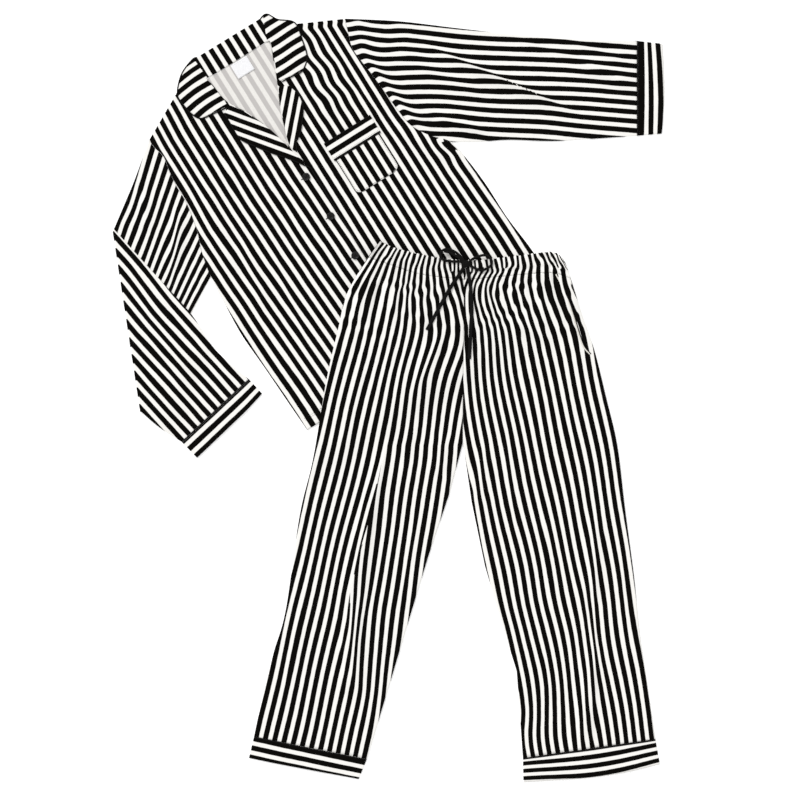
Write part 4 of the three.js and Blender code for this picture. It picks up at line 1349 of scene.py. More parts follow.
        wide = self.cuff_width
        band = cloth_tube(on_plan(plan), lambda u, v: 0 * u, band_over, wide, 50, np.linspace(start, 1, 16),
                          stripes, lambda x, y, u, v: u * wide)
        pipe = cloth_tube(on_plan(plan), lambda u, v: 0 * u, pipe_over, wide, 50,
                          np.linspace(SEAM_GAP / length, piping_end, 5),
                          lambda x, y, u, v: v * length / PITCH, lambda x, y, u, v: u * wide)
        name = f"cuff_{hand.value}"
        piece = self.finish(f"{name}_cloth", band, Slot.CROSSED, name, finishes=self.finishes.bands)
        self.trim(f"{name}_piping", pipe, f"cuff_piping_{hand.value}")

    def left_sleeve(self) -> None:
        """The left sleeve, spread out, with the long crease of its fold line."""
        top = ((213, 205), (300, 145), (386, 76), (458, 19), (549, -49), (673, -133))
        low = ((261, -108), (310, -138), (360, -165), (429, -211), (500, -250), (575, -290))
        end = ((712, -164), (690, -204), (662, -251), (637, -287), (618, -312))
        creases = (
            Crease((330, 65), (480, -160), 18, 6, 0.2), Crease((550, -102), (617, -197), 15, 4.5, -0.15),
            Crease((262, -50), (330, -128), 13, 5, 0.2), Crease((290, 60), (360, -60), 20, 3, 0.15),
            Crease((322, 77), (496, -184), 5, 1.3, 0.0, 0.36, 90),
            Crease((470, 0), (600, -150), 7, 0.9, 0.12), Crease((240, 120), (330, 20), 8, 0.9, -0.1),
            Crease((218, -26), (256, -50), 6, 1.4, 0.05, 0.14, 12),
            Crease((232, -52), (282, -84), 5, 1.5, 0.04, -0.16, 12),
            Crease((250, -78), (300, -108), 5, 1.2, 0.04, 0.14, 12),
            Crease((560, -60), (640, -160), 8, 0.8, 0.15),
        )
        drape = Drape(0.8, 66, -0.9)
        seam = (top[-1], low[-1])
        armhole = tuple((x + SEAM_GAP, y + SEAM_GAP / 2) for x, y in ARMHOLE_LEFT[::-1])
        plan = patch(smooth_edge(armhole), smooth_edge(seam), smooth_edge((armhole[0], *top[1:])),
                     smooth_edge((armhole[-1], *low[1:])))
        lines_x = (-50, 40, 120, 200, 260, 320, 380, 440, 478)
        lines_y = (720, 717, 711, 705, 702, 699, 694, 689, 686)
        top_length, low_length = 571, 363

        def over(u: Array, v: Array) -> Array:
            """The upper face: creases and drape, fading to the folded edges and the armhole."""
            x, y = plan(u, v)
            fine = drape.height(x, y) * smooth(v, 0, 0.08) * (1 - smooth(v, 0.94, 1))
            return FLAT_TUBE + (heights(creases, x, y) + fine) * np.sin(math.pi * np.clip(u, 0, 1)) ** 0.5

        def stripes(x: Array, y: Array, u: Array, v: Array) -> Array:
            """Distance below the uppermost stripe, a curve of its own, and a crest by the armhole."""
            set_x, set_y = PLACE.to_set(x, y)
            high = smooth(set_y, 650, 715)
            past = v * (top_length + (low_length - top_length) * u)
            ridge = 0.25 + 0.06 * np.sin(set_y / 9)
            ridge = ridge * np.exp(-(((past - 18 - 17 * high) / (12 + 8 * high)) ** 2))
            dip = 0.1 * np.exp(-(((past - 48 - 40 * high) / 18) ** 2))
            swell = 0.08 * np.exp(-(((past - 110) / 30) ** 2))
            crested = (ridge - dip + swell) * smooth(set_y, 515, 560)
            drawn = 0.16 * np.exp(-((set_x - 118) / 60) ** 2) * smooth(600 - set_y, 0, 60)
            below = (eased(lines_x, lines_y, set_x) - set_y) / 17.95 - 0.03
            return below + drawn + crested + pulls(creases, x, y)

        surface = cloth_tube(on_plan(plan), lambda u, v: 0 * u, over, 240, 64, np.linspace(0, 1, 130),
                             stripes, lambda x, y, u, v: PLACE.to_set(x, y)[0])
        piece = self.finish("sleeve_left_cloth", surface, Slot.STRIPED, "sleeve_left")
        self.cuff(Hand.LEFT, seam, end)

    def right_sleeve(self) -> None:
        """The right sleeve: the upper arm, a half turn about the oblique fold, and the forearm over it."""
        upper_top = ((-237, 206), (-270, 180), (-305, 153), (-346, 124), (-386, 96))
        upper_low = ((-275, -83), (-346, -124), (-400, -156), (-465, -196), (-529, -235))
        fore_top = ((-386, 96), (-366, -15), (-346, -124), (-343, -208), (-318, -291))
        fore_low = ((-529, -235), (-521, -263), (-511, -290), (-502, -309), (-494, -325))
        end = ((-311, -329), (-355, -341), (-398, -350), (-441, -359), (-485, -368))
        upper_creases = (
            Crease((-258, 66), (-318, -30), 14, 4, -0.25), Crease((-300, 120), (-330, 60), 16, 2.5, 0.15),
            Crease((-267, 52), (-354, -62), 12, 1.1, -0.3), Crease((-262, -10), (-310, -92), 6, 1.2, -0.08),
            Crease((-290, 150), (-325, 80), 7, 0.8, 0.1),
        )
        fore_creases = (
            Crease((-420, -40), (-410, -230), 20, 4, 0.2), Crease((-480, -170), (-455, -300), 16, 3, -0.15),
            Crease((-375, -180), (-350, -275), 12, 2.5, 0.15),
            Crease((-440, -90), (-436, -230), 7, 0.9, 0.15),
            Crease((-388, 10), (-380, -130), 8, 0.9, -0.15),
        )
        drape = Drape(0.7, 60, 0.3)
        centre = FLAT_TUBE + AIR / 2
        armhole = tuple((x - SEAM_GAP - 0.1, y) for x, y in ARMHOLE_RIGHT[::-1])
        fold, seam = (upper_top[-1], upper_low[-1]), (fore_top[-1], fore_low[-1])
        upper = patch(smooth_edge(armhole), smooth_edge(fold), smooth_edge((armhole[0], *upper_top[1:])),
                      smooth_edge((armhole[-1], *upper_low[1:])))
        fore = patch(smooth_edge(fold), smooth_edge(seam), smooth_edge(fore_top), smooth_edge(fore_low))
        run = np.subtract(fold[1], fold[0]) / np.linalg.norm(np.subtract(fold[1], fold[0]))
        out = (run[1], -run[0])
        arm = np.subtract(upper_low[-1], upper_low[0])
        arm = arm / np.linalg.norm(arm)

        def flat(u: Array, v: Array) -> tuple[Array, Array]:
            """The plan: v 0 to 1 is the upper arm, 1 to 2 the bend, 2 to 3 the forearm."""
            ax, ay = upper(u, np.clip(v, 0, 1))
            bx, by = fore(u, np.clip(v - 2, 0, 1))
            late = v >= 2
            return np.where(late, bx, ax), np.where(late, by, ay)

        def place(u: Array, v: Array, h: Array) -> tuple[Array, Array, Array]:
            """A half turn about the fold's axis; past the upper arm the forearm comes down to the surface."""
            x, y = flat(u, v)
            turn = math.pi * np.clip(v - 1, 0, 1)
            radius = centre - h
            x, y = x + out[0] * radius * np.sin(turn), y + out[1] * radius * np.sin(turn)
            beyond = -(x - upper_low[0][0]) * arm[1] + (y - upper_low[0][1]) * arm[0]
            down = np.where(v >= 2, 2 * LAYER * smooth(beyond, 35, 85), 0)
            return x, y, centre - radius * np.cos(turn) - down

        def under(u: Array, v: Array) -> Array:
            """Once turned over, this face is the forearm's upper one, so its creases go the other way."""
            x, y = flat(u, v)
            fine = drape.height(x, y) * smooth(v, 2.0, 2.1) * (1 - smooth(v, 2.94, 3))
            shown = heights(fore_creases, x, y) + fine
            return -np.where(v >= 2, shown * np.sin(math.pi * np.clip(u, 0, 1)) ** 0.5, 0)

        def over(u: Array, v: Array) -> Array:
            """The upper arm's upper face, smooth where the forearm lies on it."""
            x, y = flat(u, v)
            edge = np.interp(y, [-124, -15, 96], [-346, -366, -386])
            open_part = smooth(x - edge, 6, 30) * smooth(v, 0, 0.08)
            shown = heights(upper_creases[:2], x, y)
            shown = shown + (heights(upper_creases[2:], x, y) + drape.height(x, y)) * open_part
            return FLAT_TUBE + np.where(v <= 1, shown * np.sin(math.pi * np.clip(u, 0, 1)) ** 0.5, 0)

        def stripes(x: Array, y: Array, u: Array, v: Array) -> Array:
            """Upper arm: a fan of lines. Forearm: even lines 42 degrees off straight down."""
            fx, fy = flat(u, v)
            set_x, set_y = PLACE.to_set(fx, fy)
            dx, dy = set_x + 492.4, set_y - 291.1
            upper_count = (dx - 0.36 * dy) / (17.36 + 0.019 * dy) + pulls(upper_creases, fx, fy)
            upper_count = upper_count - 0.3 + 0.45 * np.clip((set_x + 484.6) / 85.8, -0.2, 1.2)
            upper_count = upper_count + 0.33 * smooth(-set_x, 470, 510) * smooth(390 - set_y, 0, 60)
            away = -(set_x + 526.5) * 0.743 - (set_y - 339.9) * 0.669
            down = (set_x + 526.5) * 0.669 - (set_y - 339.9) * 0.743
            fore_count = (away - 26.5 + 7 * (1 - smooth(down, 60, 190))) / 18.0 + pulls(fore_creases, fx, fy)
            return np.where(v > 1.5, fore_count, upper_count)

        rows = np.concatenate([np.linspace(0, 1, 60), np.linspace(1, 2, 11)[1:-1], np.linspace(2, 3, 100)])
        surface = cloth_tube(place, under, over, 220, 60, rows, stripes,
                             lambda x, y, u, v: PLACE.to_set(*flat(u, v))[1])
        piece = self.finish("sleeve_right_cloth", surface, Slot.STRIPED, "sleeve_right")
        self.cuff(Hand.RIGHT, seam, end)

    def pipings(self) -> None:
        """Black piping down the lapel and the front edge, and round the collar."""
        x, y = through(FRONT_PIPING, 260).T
        step = smooth(y, -16, -4)
        low = self.left_over(x, y)
        high = self.right_over(np.minimum(x, 0), y)
        z = low + (high - low) * step + SEAM_GAP + 0.55 * PIPING
        self.trim("front_piping_cord", ribbon(raised(x, y, z), PIPING, PIPING, 10), "front_piping")
        x, y = through(COLLAR_PIPING, 240).T
        on_stand = smooth(y, 290.5, 293) * (1 - smooth(np.abs(x), 68, 80))
        y = y - 2.6 * on_stand
        z = 2 * LAYER + 0.5 * PIPING - on_stand * (2 * LAYER - 0.05 * PIPING)
        self.trim("collar_piping_cord", ribbon(raised(x, y, z), PIPING, PIPING, 10), "collar_piping")

    def disc(self, middle: Point, base: float) -> Surface:
        """A button: dished inside its rim, with four holes.

        Args:
            middle: its place.
            base: height of its underside.

        Returns:
            The closed shell.
        """
        radius, inside, hole = self.button_radius, self.button_radius - self.button_rim, self.button_hole
        rings, around, dish_depth, side_rings = 30, 56, 0.75, 3
        r, a = np.meshgrid(np.linspace(0.02, 1, rings) * radius, 2 * math.pi * np.arange(around) / around,
                           indexing="ij")
        dish = dish_depth * (1 - smooth(r, inside - 0.9, inside + 0.2))
        top = self.button_height - dish - 0.55 * smooth(r, radius - 0.7, radius)
        for hx, hy in ((-hole, -hole), (-hole, hole), (hole, -hole), (hole, hole)):
            far = np.hypot(r * np.cos(a) - hx, r * np.sin(a) - hy)
            top = top - 1.2 * np.exp(-((far / 0.78) ** 6))
        side_r, side_z = np.array([radius, radius - 0.3, 0.02 * radius]), np.array([0.5, 0.0, 0.0])
        ring_r = np.concatenate([r, np.repeat(side_r[:, None], around, axis=1)])
        ring_z = np.concatenate([top, np.repeat(side_z[:, None], around, axis=1)])
        ring_a = np.concatenate([a, np.repeat(a[:1], side_rings, axis=0)])
        x, y = middle[0] + ring_r * np.cos(ring_a), middle[1] + ring_r * np.sin(ring_a)
        return Surface.shell(raised(x, y, base + ring_z), grid_faces(around, rings + side_rings, ring=True))

    def button(self, number: int) -> None:
        """A button with its crossed thread, over its buttonhole, counted from the top."""
        cx, cy = self.button_x, self.button_top_y - (number - 1) * self.button_pitch
        base = float(self.right_over(np.array(cx), np.array(cy))) + 2.2 * SEAM_GAP
        s = np.linspace(-1, 1, 12)
        across, lift = self.button_hole * s, base + self.button_height - 0.4 - 1.1 * s**6
        threads = [ribbon(raised(cx + across, cy + way * across, lift), 0.8, 0.5, 8, 0.2) for way in (1, -1)]
        x = np.linspace(cx - 11, cx + 7, 24)
        slit = ribbon(raised(x, cy, self.right_over(x, np.full(24, cy)) + 0.2), 1.8, 0.4, 8)
        name, disc = f"button_{number}", self.disc((cx, cy), base)
        self.finish(f"{name}_disc", disc, Slot.BUTTON, name, finishes=(self.finishes.button,))
        self.thread(f"{name}_thread", gathered([*threads, slit]))

    def hem_stitches(self) -> None:
        """The twin line of stitches above the shirt's hem, where the trousers leave it in sight."""
        sewn = []
        for rise in (18.0, 22.0):
            x = np.linspace(-268, -80, 90)
            y = np.full_like(x, HEM_Y + rise)
            sewn.append(stitches(raised(x, y, self.right_over(x, y) + 0.1), 2.8, 1.2, 0.45))
        self.thread("hem_stitches", gathered(sewn))

    def build(self) -> None:
        """Builds the shirt from the surface up."""
        self.back()
        self.fronts()
        self.lapels()
        self.collar()
        self.label()
        self.pocket()
        self.left_sleeve()
        self.right_sleeve()
        self.pipings()
        for number in (1, 2, 3):
            self.button(number)
        self.hem_stitches()


# Trousers

WAIST_TOP = ((-17, 308), (19, 294), (73, 281), (143, 272), (204, 275), (260, 282), (319, 288), (342, 273))
WAIST_SEAM = ((-40, 276), (5, 261), (64, 243), (147, 234), (210, 238), (265, 243), (318, 246), (355, 235))
CENTRE_SHARE = 3 / 7
CENTRE = (147.0, 234.0)
RIGHT_OUTER = ((-40, 276), (-81, 205), (-98, 137), (-121, 36), (-147, -116), (-173, -226), (-200, -409),
               (-223, -491), (-241, -559), (-262, -657))
RIGHT_INNER = ((147, 234), (147, 150), (146, 70), (145, -10), (144.7, -85), (120, -180), (78, -305),
               (38, -436), (11, -526), (-42, -701))
LEFT_OUTER = ((355, 235), (375, 172), (401, 96), (425, 0), (446, -91), (461, -214), (478, -343), (489, -450),
              (500, -526), (520, -662))
LEFT_INNER = ((147, 234), (147, 150), (146, 70), (145, -10), (145.3, -85), (162, -200), (188, -325),
              (220, -435), (250, -530), (262, -699))
RIGHT_HEM_END = ((-272, -699), (-218, -710), (-165, -720), (-112, -730), (-58, -740))
LEFT_HEM_END = ((529, -711), (462, -727), (396, -737), (330, -742), (263, -746))
GATHERS, GATHER_RISE, GATHER_FADE = 9, 3.2, 110.0
WAIST_WAVES, WAIST_WAVE_RISE = 34, 1.8
TROUSER_AIR = 1.4
TROUSER_CREASES = (
    Crease((114, 141), (52, 20), 16, 4.5, 0.3), Crease((243, 159), (319, 110), 14, 3, 0.12),
    Crease((-7, -89), (-75, -391), 18, 4, 0.25), Crease((-75, -391), (-59, -567), 18, 4, 0.2),
    Crease((401, -220), (401, -391), 17, 4, 0.3), Crease((395, -500), (372, -690), 17, 4.5, 0.25),
    Crease((105, -70), (98, -150), 14, 3.5, 0.25), Crease((185, -90), (176, -200), 14, 3, 0.25),
    Crease((335, 240), (389, 96), 9, 2.5, 0.1),
)
TROUSER_FINE = (
    Crease((40, 120), (0, -60), 7, 0.9, 0.12), Crease((60, -20), (20, -160), 7, 1.0, -0.12),
    Crease((10, 190), (-12, 90), 6, 1.1, 0.1), Crease((-50, 60), (-86, -90), 8, 0.9, 0.15),
    Crease((-4, -85), (-42, -282), 6, 1.1), Crease((-34, -230), (-60, -490), 6, 1.1),
    Crease((-46, -169), (-72, -380), 7, 0.9, 0.12), Crease((-92, -420), (-80, -600), 6, 0.9, 0.1),
    Crease((-160, -360), (-196, -560), 9, 0.8, -0.12), Crease((60, -220), (20, -400), 8, 0.8, 0.15),
    Crease((250, 140), (292, 60), 7, 1.0, -0.1), Crease((280, 170), (340, 118), 6, 1.2, 0.08),
    Crease((340, 60), (366, -110), 8, 0.9, 0.1), Crease((230, -60), (246, -260), 8, 0.8, 0.15),
    Crease((300, -200), (318, -420), 9, 0.8, -0.12), Crease((403, -300), (400, -600), 5, 1.1, 0.1),
    Crease((306, -490), (318, -610), 6, 0.8, 0.1),
    Crease((452, -300), (470, -520), 8, 0.8, 0.12), Crease((128, -96), (112, -190), 5, 1.3, 0.08),
    Crease((158, -88), (164, -180), 5, 1.2, -0.08), Crease((400, -560), (392, -690), 6, 1.0, 0.15),
)
TROUSER_DRAPE = Drape(0.6, 62, 0.12)


def ground(x: Array, y: Array) -> Array:
    """The height that the trousers lie on: the shirt with its placket, then down to the surface."""
    across, up = PLACE.to_shirt(x, y)
    beyond = np.maximum(np.maximum(HEM_Y - up, across - SIDE_LEFT_X), SIDE_RIGHT_X - across)
    cover = 1 - smooth(beyond, 45, 105)
    ridge = 3 * (1 - smooth(np.abs(across + 8), 55, 110))
    return cover * (2 * WALL + 2 * AIR + ridge)


def crest(x: Array, y: Array) -> Array:
    """The highest that the gathered cloth reaches near the middle of the waist."""
    near = np.exp(-np.maximum(0, CENTRE[1] - y) / GATHER_FADE)
    panel = 2 * WALL + TROUSER_AIR + GATHER_RISE * near + heights(TROUSER_CREASES, x, y)
    band = np.where(y > CENTRE[1] - 8, FLAT_TUBE + 2 + WAIST_WAVE_RISE, 0)
    return ground(x, y) + np.maximum(panel, band)


@dataclass(frozen=True)
class LegStripes:
    """Where named dark stripes of a leg lie, at a few heights; between them the count is even.

    Attributes:
        counts: the numbers of the named stripes, from the outer side in.
        stations: for each height y, the x of the named stripes.
    """

    counts: tuple[int, ...]
    stations: tuple[tuple[float, tuple[float, ...]], ...]

    def count(self, x: Array, y: Array) -> Array:
        """The stripe count at a point: each named stripe is a smooth line down the leg."""
        heights_up = [s[0] for s in self.stations]
        lines = [eased(heights_up, [s[1][k] for s in self.stations], y) for k in range(len(self.counts))]
        found = np.zeros(np.shape(x))
        last = len(self.counts) - 2
        for k in range(last + 1):
            start, end = lines[k], lines[k + 1]
            share = (x - start) / (end - start)
            inside = (share >= (0 if k else -np.inf)) & (share < (1 if k < last else np.inf))
            found = np.where(inside, self.counts[k] + share * (self.counts[k + 1] - self.counts[k]), found)
        return found


RIGHT_STRIPES = LegStripes((0, 4, 7, 10, 14), (
    (-740, (-274, -202, -147, -91, -22)), (-655, (-256, -182, -127, -73, -3)),
    (-580, (-239, -166, -110, -58, 4)), (-460, (-212, -139, -85, -50, 20)),
    (-330, (-182, -111, -61, -14, 54)), (-210, (-153, -82, -33, 21, 91)),
    (-110, (-130, -57, -1, 51, 118)), (40, (-94, -24, 25, 74, 147)), (130, (-71, 0, 47, 97, 172)),
    (225, (-45, 18, 49, 90, 143)), (262, (-26, 24, 54, 86, 134)),
))
LEFT_STRIPES = LegStripes((0, 4, 6, 8, 12, 15), (
    (-740, (523, 457, 424, 390, 324, 277)), (-655, (513, 445, 411, 377, 309, 260)),
    (-610, (507, 438, 404, 374, 308, 262)), (-555, (498, 428, 400, 368, 306, 256)),
    (-460, (482, 410, 388, 356, 287, 236)), (-395, (472, 403, 378, 342, 271, 218)),
    (-330, (462, 396, 364, 331, 259, 205)), (-210, (443, 375, 339, 303, 231, 181)),
    (-110, (427, 356, 318, 282, 212, 161)), (40, (396, 323, 288, 249, 187, 141)),
    (130, (378, 303, 270, 235, 181, 136)), (225, (344, 275, 244, 212, 170, 143)),
    (262, (338, 276, 252, 229, 190, 154)),
))
# The inner stripes of the right leg run on under the fold line in its middle: y, and how many are gone
SLIP_Y = (-672, -555, -460, -399, -321, -243, -165, -90)
SLIP = (3.0, 3.08, 3.1, 2.66, 1.97, 1.36, 0.67, 0.0)
# The fold line: share down the leg, and share across it
FOLD_V = (0.0, 0.444, 0.556, 0.667, 0.778, 1.0)
FOLD_U = (0.476, 0.503, 0.518, 0.478, 0.57, 0.62)
# Dark stripes of the casing: share along it, and the count there
CASING_U = (0.0, 0.036, 0.104, 0.158, 0.211, 0.26, 0.304, 0.344, 0.38, 0.412, 0.45, 0.483, 0.536, 0.581,
            0.634, 0.69, 0.744, 0.795, 0.848, 0.925, 1.0)
CASING_COUNT = (-1, *range(0, 38, 2), 38)


def casing_count(u: Array, v: Array) -> Array:
    """The stripe count of the casing, fanned out at its left end towards the seam and a little wavy."""
    fanned = u - 0.45 * v * np.maximum(u - 0.72, 0)
    return eased(CASING_U, CASING_COUNT, fanned) + 0.1 * np.sin(90 * u + 3 * v)


@dataclass(frozen=True)
class Trousers:
    """The trousers: four leg panels, the gathered waistband, the hem bands and the side pocket's edge.

    Widths are those of cloth laid flat, and the piping's start and end are shares along a hem band.
    """

    finishes: Finishes
    seam_shift: float = 0.04
    casing_width: float = 370.0
    hem_width: float = 265.0
    hem_piping: tuple[float, float] = (0.01, 0.075)
    pocket_mouth: tuple[Point, ...] = (
        (326, 243), (338, 219), (350, 190), (361, 158), (371, 125), (380, 102), (392, 88),
    )

    @staticmethod
    def gather(x: Array, y: Array, u: Array) -> Array:
        """Gathers below the waist, each a raised cosine, every other one deeper, fading down the leg."""
        wave = (1 - np.cos(2 * math.pi * GATHERS * u)) / 2
        uneven = 0.72 + 0.28 * np.sin(5.3 * GATHERS * u + 1.1)
        fine = 0.25 * (1 + np.sin(2 * math.pi * 2 * GATHERS * u + 1.5 * np.sin(y / 31)))
        down = np.maximum(0, CENTRE[1] - y)
        return GATHER_RISE * wave * uneven * np.exp(-down / GATHER_FADE) * 0.92 + fine * np.exp(-down / 60)

    @classmethod
    def rise(cls, x: Array, y: Array, u: Array, v: Array) -> Array:
        """Height of gathers, creases and drape over the flat leg."""
        fade = 1 - smooth(v, 0.3, 0.45)
        away_from_tape = smooth(np.hypot(x - 140, (y - 170) / 2), 30, 70)
        fine = (TROUSER_DRAPE.height(x, y) + heights(TROUSER_FINE, x, y)) * away_from_tape
        edge = np.sin(math.pi * np.clip(u, 0, 1)) ** 0.5
        return cls.gather(x, y, u) * fade + (heights(TROUSER_CREASES, x, y) + fine) * edge

    @staticmethod
    def leg_plan(outer: Sequence[Point], inner: Sequence[Point], start: float, shift: float) -> Plan:
        """A leg between the waist seam, its two edges and the hem, a seam's gap from its neighbours.

        Args:
            outer: its outer edge, from the waist down.
            inner: its inner edge.
            start: share of the waist seam at which its outer edge starts.
            shift: how far its inner edge is moved off the seam, below 0 for the right leg.

        Returns:
            Its plan.
        """
        def waist(u: Array) -> Array:
            """Its part of the waist seam."""
            return curve(WAIST_SEAM, start + (CENTRE_SHARE - start) * u)

        flat = patch(waist, straight_edge((outer[-1], inner[-1])), smooth_edge(outer), straight_edge(inner))

        def place(u: Array, v: Array) -> tuple[Array, Array]:
            """The patch, moved off the seams; on the right leg its middle column follows the fold line."""
            if shift < 0:
                u = u + 4 * u * (1 - u) * (np.interp(v, FOLD_V, FOLD_U) - 0.5)
            x, y = flat(u, v)
            return x + shift * u, y - 0.3 * SEAM_GAP * (1 - v)
        return place

    @staticmethod
    def stripes(hand: Hand, x: Array, y: Array, u: Array) -> Array:
        """The leg's stripe count, with the wobble of the gathers and the pull of the creases.

        Args:
            hand: the wearer's side.
            x: place across the set.
            y: place up the set.
            u: share across the leg.

        Returns:
            The count.
        """
        right = hand is Hand.RIGHT
        table, sign = (RIGHT_STRIPES, 1) if right else (LEFT_STRIPES, -1)
        slip = eased(SLIP_Y, SLIP, np.clip(y, SLIP_Y[0], SLIP_Y[-1])) * (u > 0.5) * right
        down = np.maximum(0, CENTRE[1] + 10 - y)
        fade = np.exp(-down / 70) * smooth(down, 4, 30)
        phase = 2 * math.pi * GATHERS * u + 2.6 * np.sin(y / 24) + 1.4 * np.sin(y / 13 + 9 * u)
        wobble = 0.17 * np.sin(phase) * fade
        wobble = wobble + 0.035 * np.sin(146 * u + 2.5 * np.sin(y / 17 + 2 * u)) * fade
        wobble = wobble + 0.05 * np.sin(y / 37 + 9 * u) * smooth(down, 40, 120)
        return table.count(x, y) - slip + sign * (wobble - pulls(TROUSER_CREASES + TROUSER_FINE, x, y))

    def legs(self) -> None:
        """Fronts with all their creases over plain backs."""
        for hand, outer, inner, start, shift in (
            (Hand.RIGHT, RIGHT_OUTER, RIGHT_INNER, 0.0, -self.seam_shift),
            (Hand.LEFT, LEFT_OUTER, LEFT_INNER, 1.0, self.seam_shift),
        ):
            plan, side = self.leg_plan(outer, inner, start, shift), hand.value

            def under(x: Array, y: Array, u: Array, v: Array) -> Array:
                """Lower face of the front."""
                return ground(x, y) + WALL + TROUSER_AIR + self.rise(x, y, u, v)

            def stripes(x: Array, y: Array, u: Array, v: Array, hand: Hand = hand) -> Array:
                """The side's stripe count."""
                return self.stripes(hand, x, y, u)

            front = cloth_panel(plan, under, lambda x, y, u, v: under(x, y, u, v) + WALL, 110, 210,
                                stripes, lambda x, y, u, v: -y, soft_edge=0.35)
            back = cloth_panel(plan, lambda x, y, u, v: ground(x, y),
                               lambda x, y, u, v: ground(x, y) + WALL,
                               40, 90, stripes, lambda x, y, u, v: -y, soft_edge=0.2)
            for part, surface, on in (("front", front, f"trouser_back_{side}_cloth"),
                                      ("back", back, "back_cloth")):
                name = f"trouser_{part}_{side}"
                piece = dress(make_object(f"{name}_cloth", surface, self.finishes.cloth), Slot.STRIPED, name)

    def waistband(self) -> None:
        """The casing, gathered over elastic: waves across it, round along it, scalloped at its top."""
        plan = patch(smooth_edge(WAIST_TOP), smooth_edge(WAIST_SEAM),
                     straight_edge((WAIST_TOP[0], WAIST_SEAM[0])),
                     straight_edge((WAIST_TOP[-1], WAIST_SEAM[-1])))
        stitch_row = 0.74

        def wave(u: Array, v: Array) -> Array:
            """Gathers of uneven width and height, from 0 to 1."""
            at = WAIST_WAVES * (u + 0.006 * np.sin(23 * u) + 0.004 * np.sin(57 * u + 2 * v))
            return (1 - np.cos(2 * math.pi * at)) / 2 * (0.75 + 0.25 * np.sin(31 * u + 1))

        def place(u: Array, v: Array, h: Array) -> tuple[Array, Array, Array]:
            """The plan's point over the ground; the upper edge goes in and out with the gathers."""
            x, y = plan(u, v)
            scallop = 1.8 * (wave(u, v) - 1) * (1 - smooth(v, 0, 0.35))
            return x, y + 0.3 * SEAM_GAP * v + scallop, h + ground(x, y)

        def over(u: Array, v: Array) -> Array:
            """Round over the elastic, drawn in at the line of stitches above the seam."""
            body = 1.1 * np.sin(math.pi * np.clip(v, 0, 1)) ** 0.7
            sewn = 0.9 * np.exp(-(((v - stitch_row) / 0.07) ** 2))
            held = 1 - 0.3 * np.exp(-(((v - stitch_row) / 0.1) ** 2))
            return FLAT_TUBE + 0.9 + WAIST_WAVE_RISE * wave(u, v) * held + body - sewn

        def stripes(x: Array, y: Array, u: Array, v: Array) -> Array:
            """Counted along the casing, and near the seam as the legs count.

            Each count is taken as the angle of a point on a circle; the angle of the blend of the two
            points goes from one to the other and forks a stripe where they differ by a half.
            """
            right, left = (self.stripes(hand, x, y, 0 * u) for hand in (Hand.RIGHT, Hand.LEFT))
            leg = np.where(x < CENTRE[0], right, -left)
            near = smooth(v + 0.12 * np.sin(41 * u), 0.3, 0.95)
            circle = 2j * math.pi
            blend = (1 - near) * np.exp(circle * casing_count(u, v)) + near * np.exp(circle * leg)
            return np.angle(blend) / (2 * math.pi)

        surface = cloth_tube(place, lambda u, v: 0 * u, over, self.casing_width, 290, np.linspace(0, 1, 16),
                             stripes, lambda x, y, u, v: v * 34)
        piece = dress(make_object("waistband_cloth", surface, self.finishes.cloth), Slot.STRIPED, "waistband")

    def hem_bands(self) -> None:
        """Crosswise bands at the hems, with the piping of their seam."""
        for hand, seam, end, first, pitch, flat in (
            (Hand.RIGHT, (RIGHT_OUTER[-1], RIGHT_INNER[-1]), RIGHT_HEM_END, 6.8, 18.1, (0.043, 0.45)),
            (Hand.LEFT, (LEFT_OUTER[-1], LEFT_INNER[-1]), LEFT_HEM_END, -2.0, 17.1, (0.053, 0.54)),
        ):
            plan = patch(smooth_edge(seam), smooth_edge(end), straight_edge((seam[0], end[0])),
                         straight_edge((seam[1], end[-1])))
            (near_x, far_x), (near_y, far_y) = plan(np.array([0.5, 0.5]), np.array([0.0, 1.0]))
            length = math.hypot(float(far_x - near_x), float(far_y - near_y))

            def over(u: Array, v: Array) -> Array:
                """Slightly crowned, with the round of the piping along the seam."""
                bead = np.sin(math.pi * np.clip((v - 0.015) / 0.055, 0, 1))
                return FLAT_TUBE + 1.4 * np.sin(math.pi * u) + bead + 0.25 * np.sin(17 * u + 4 * v)

            def stripes(x: Array, y: Array, u: Array, v: Array, first: float = first, pitch: float = pitch,
                        length: float = length) -> Array:
                """Stripes along the hem, counted from the seam, a little bent."""
                bend = 0.14 - 0.22 * u if first > 0 else 0.1 * np.cos(2 * math.pi * u)
                return (v * length - first) / pitch + bend

            rows = np.concatenate([np.linspace(*self.hem_piping, 8), np.linspace(0.1, 1, 16)])
            surface = cloth_tube(on_plan(plan), lambda u, v: 0 * u, over, self.hem_width, 60, rows, stripes,
                                 lambda x, y, u, v: u * self.hem_width, trim=self.hem_piping)
            name = f"hem_band_{hand.value}"
            piece = dress(make_object(f"{name}_cloth", surface, self.finishes.bands), Slot.CROSSED, name)

    def surface_height(self, x: Array, y: Array, u: Array, v: Array) -> Array:
        """Top of a front leg at a place of its plan."""
        return ground(x, y) + 2 * WALL + TROUSER_AIR + self.rise(x, y, u, v)

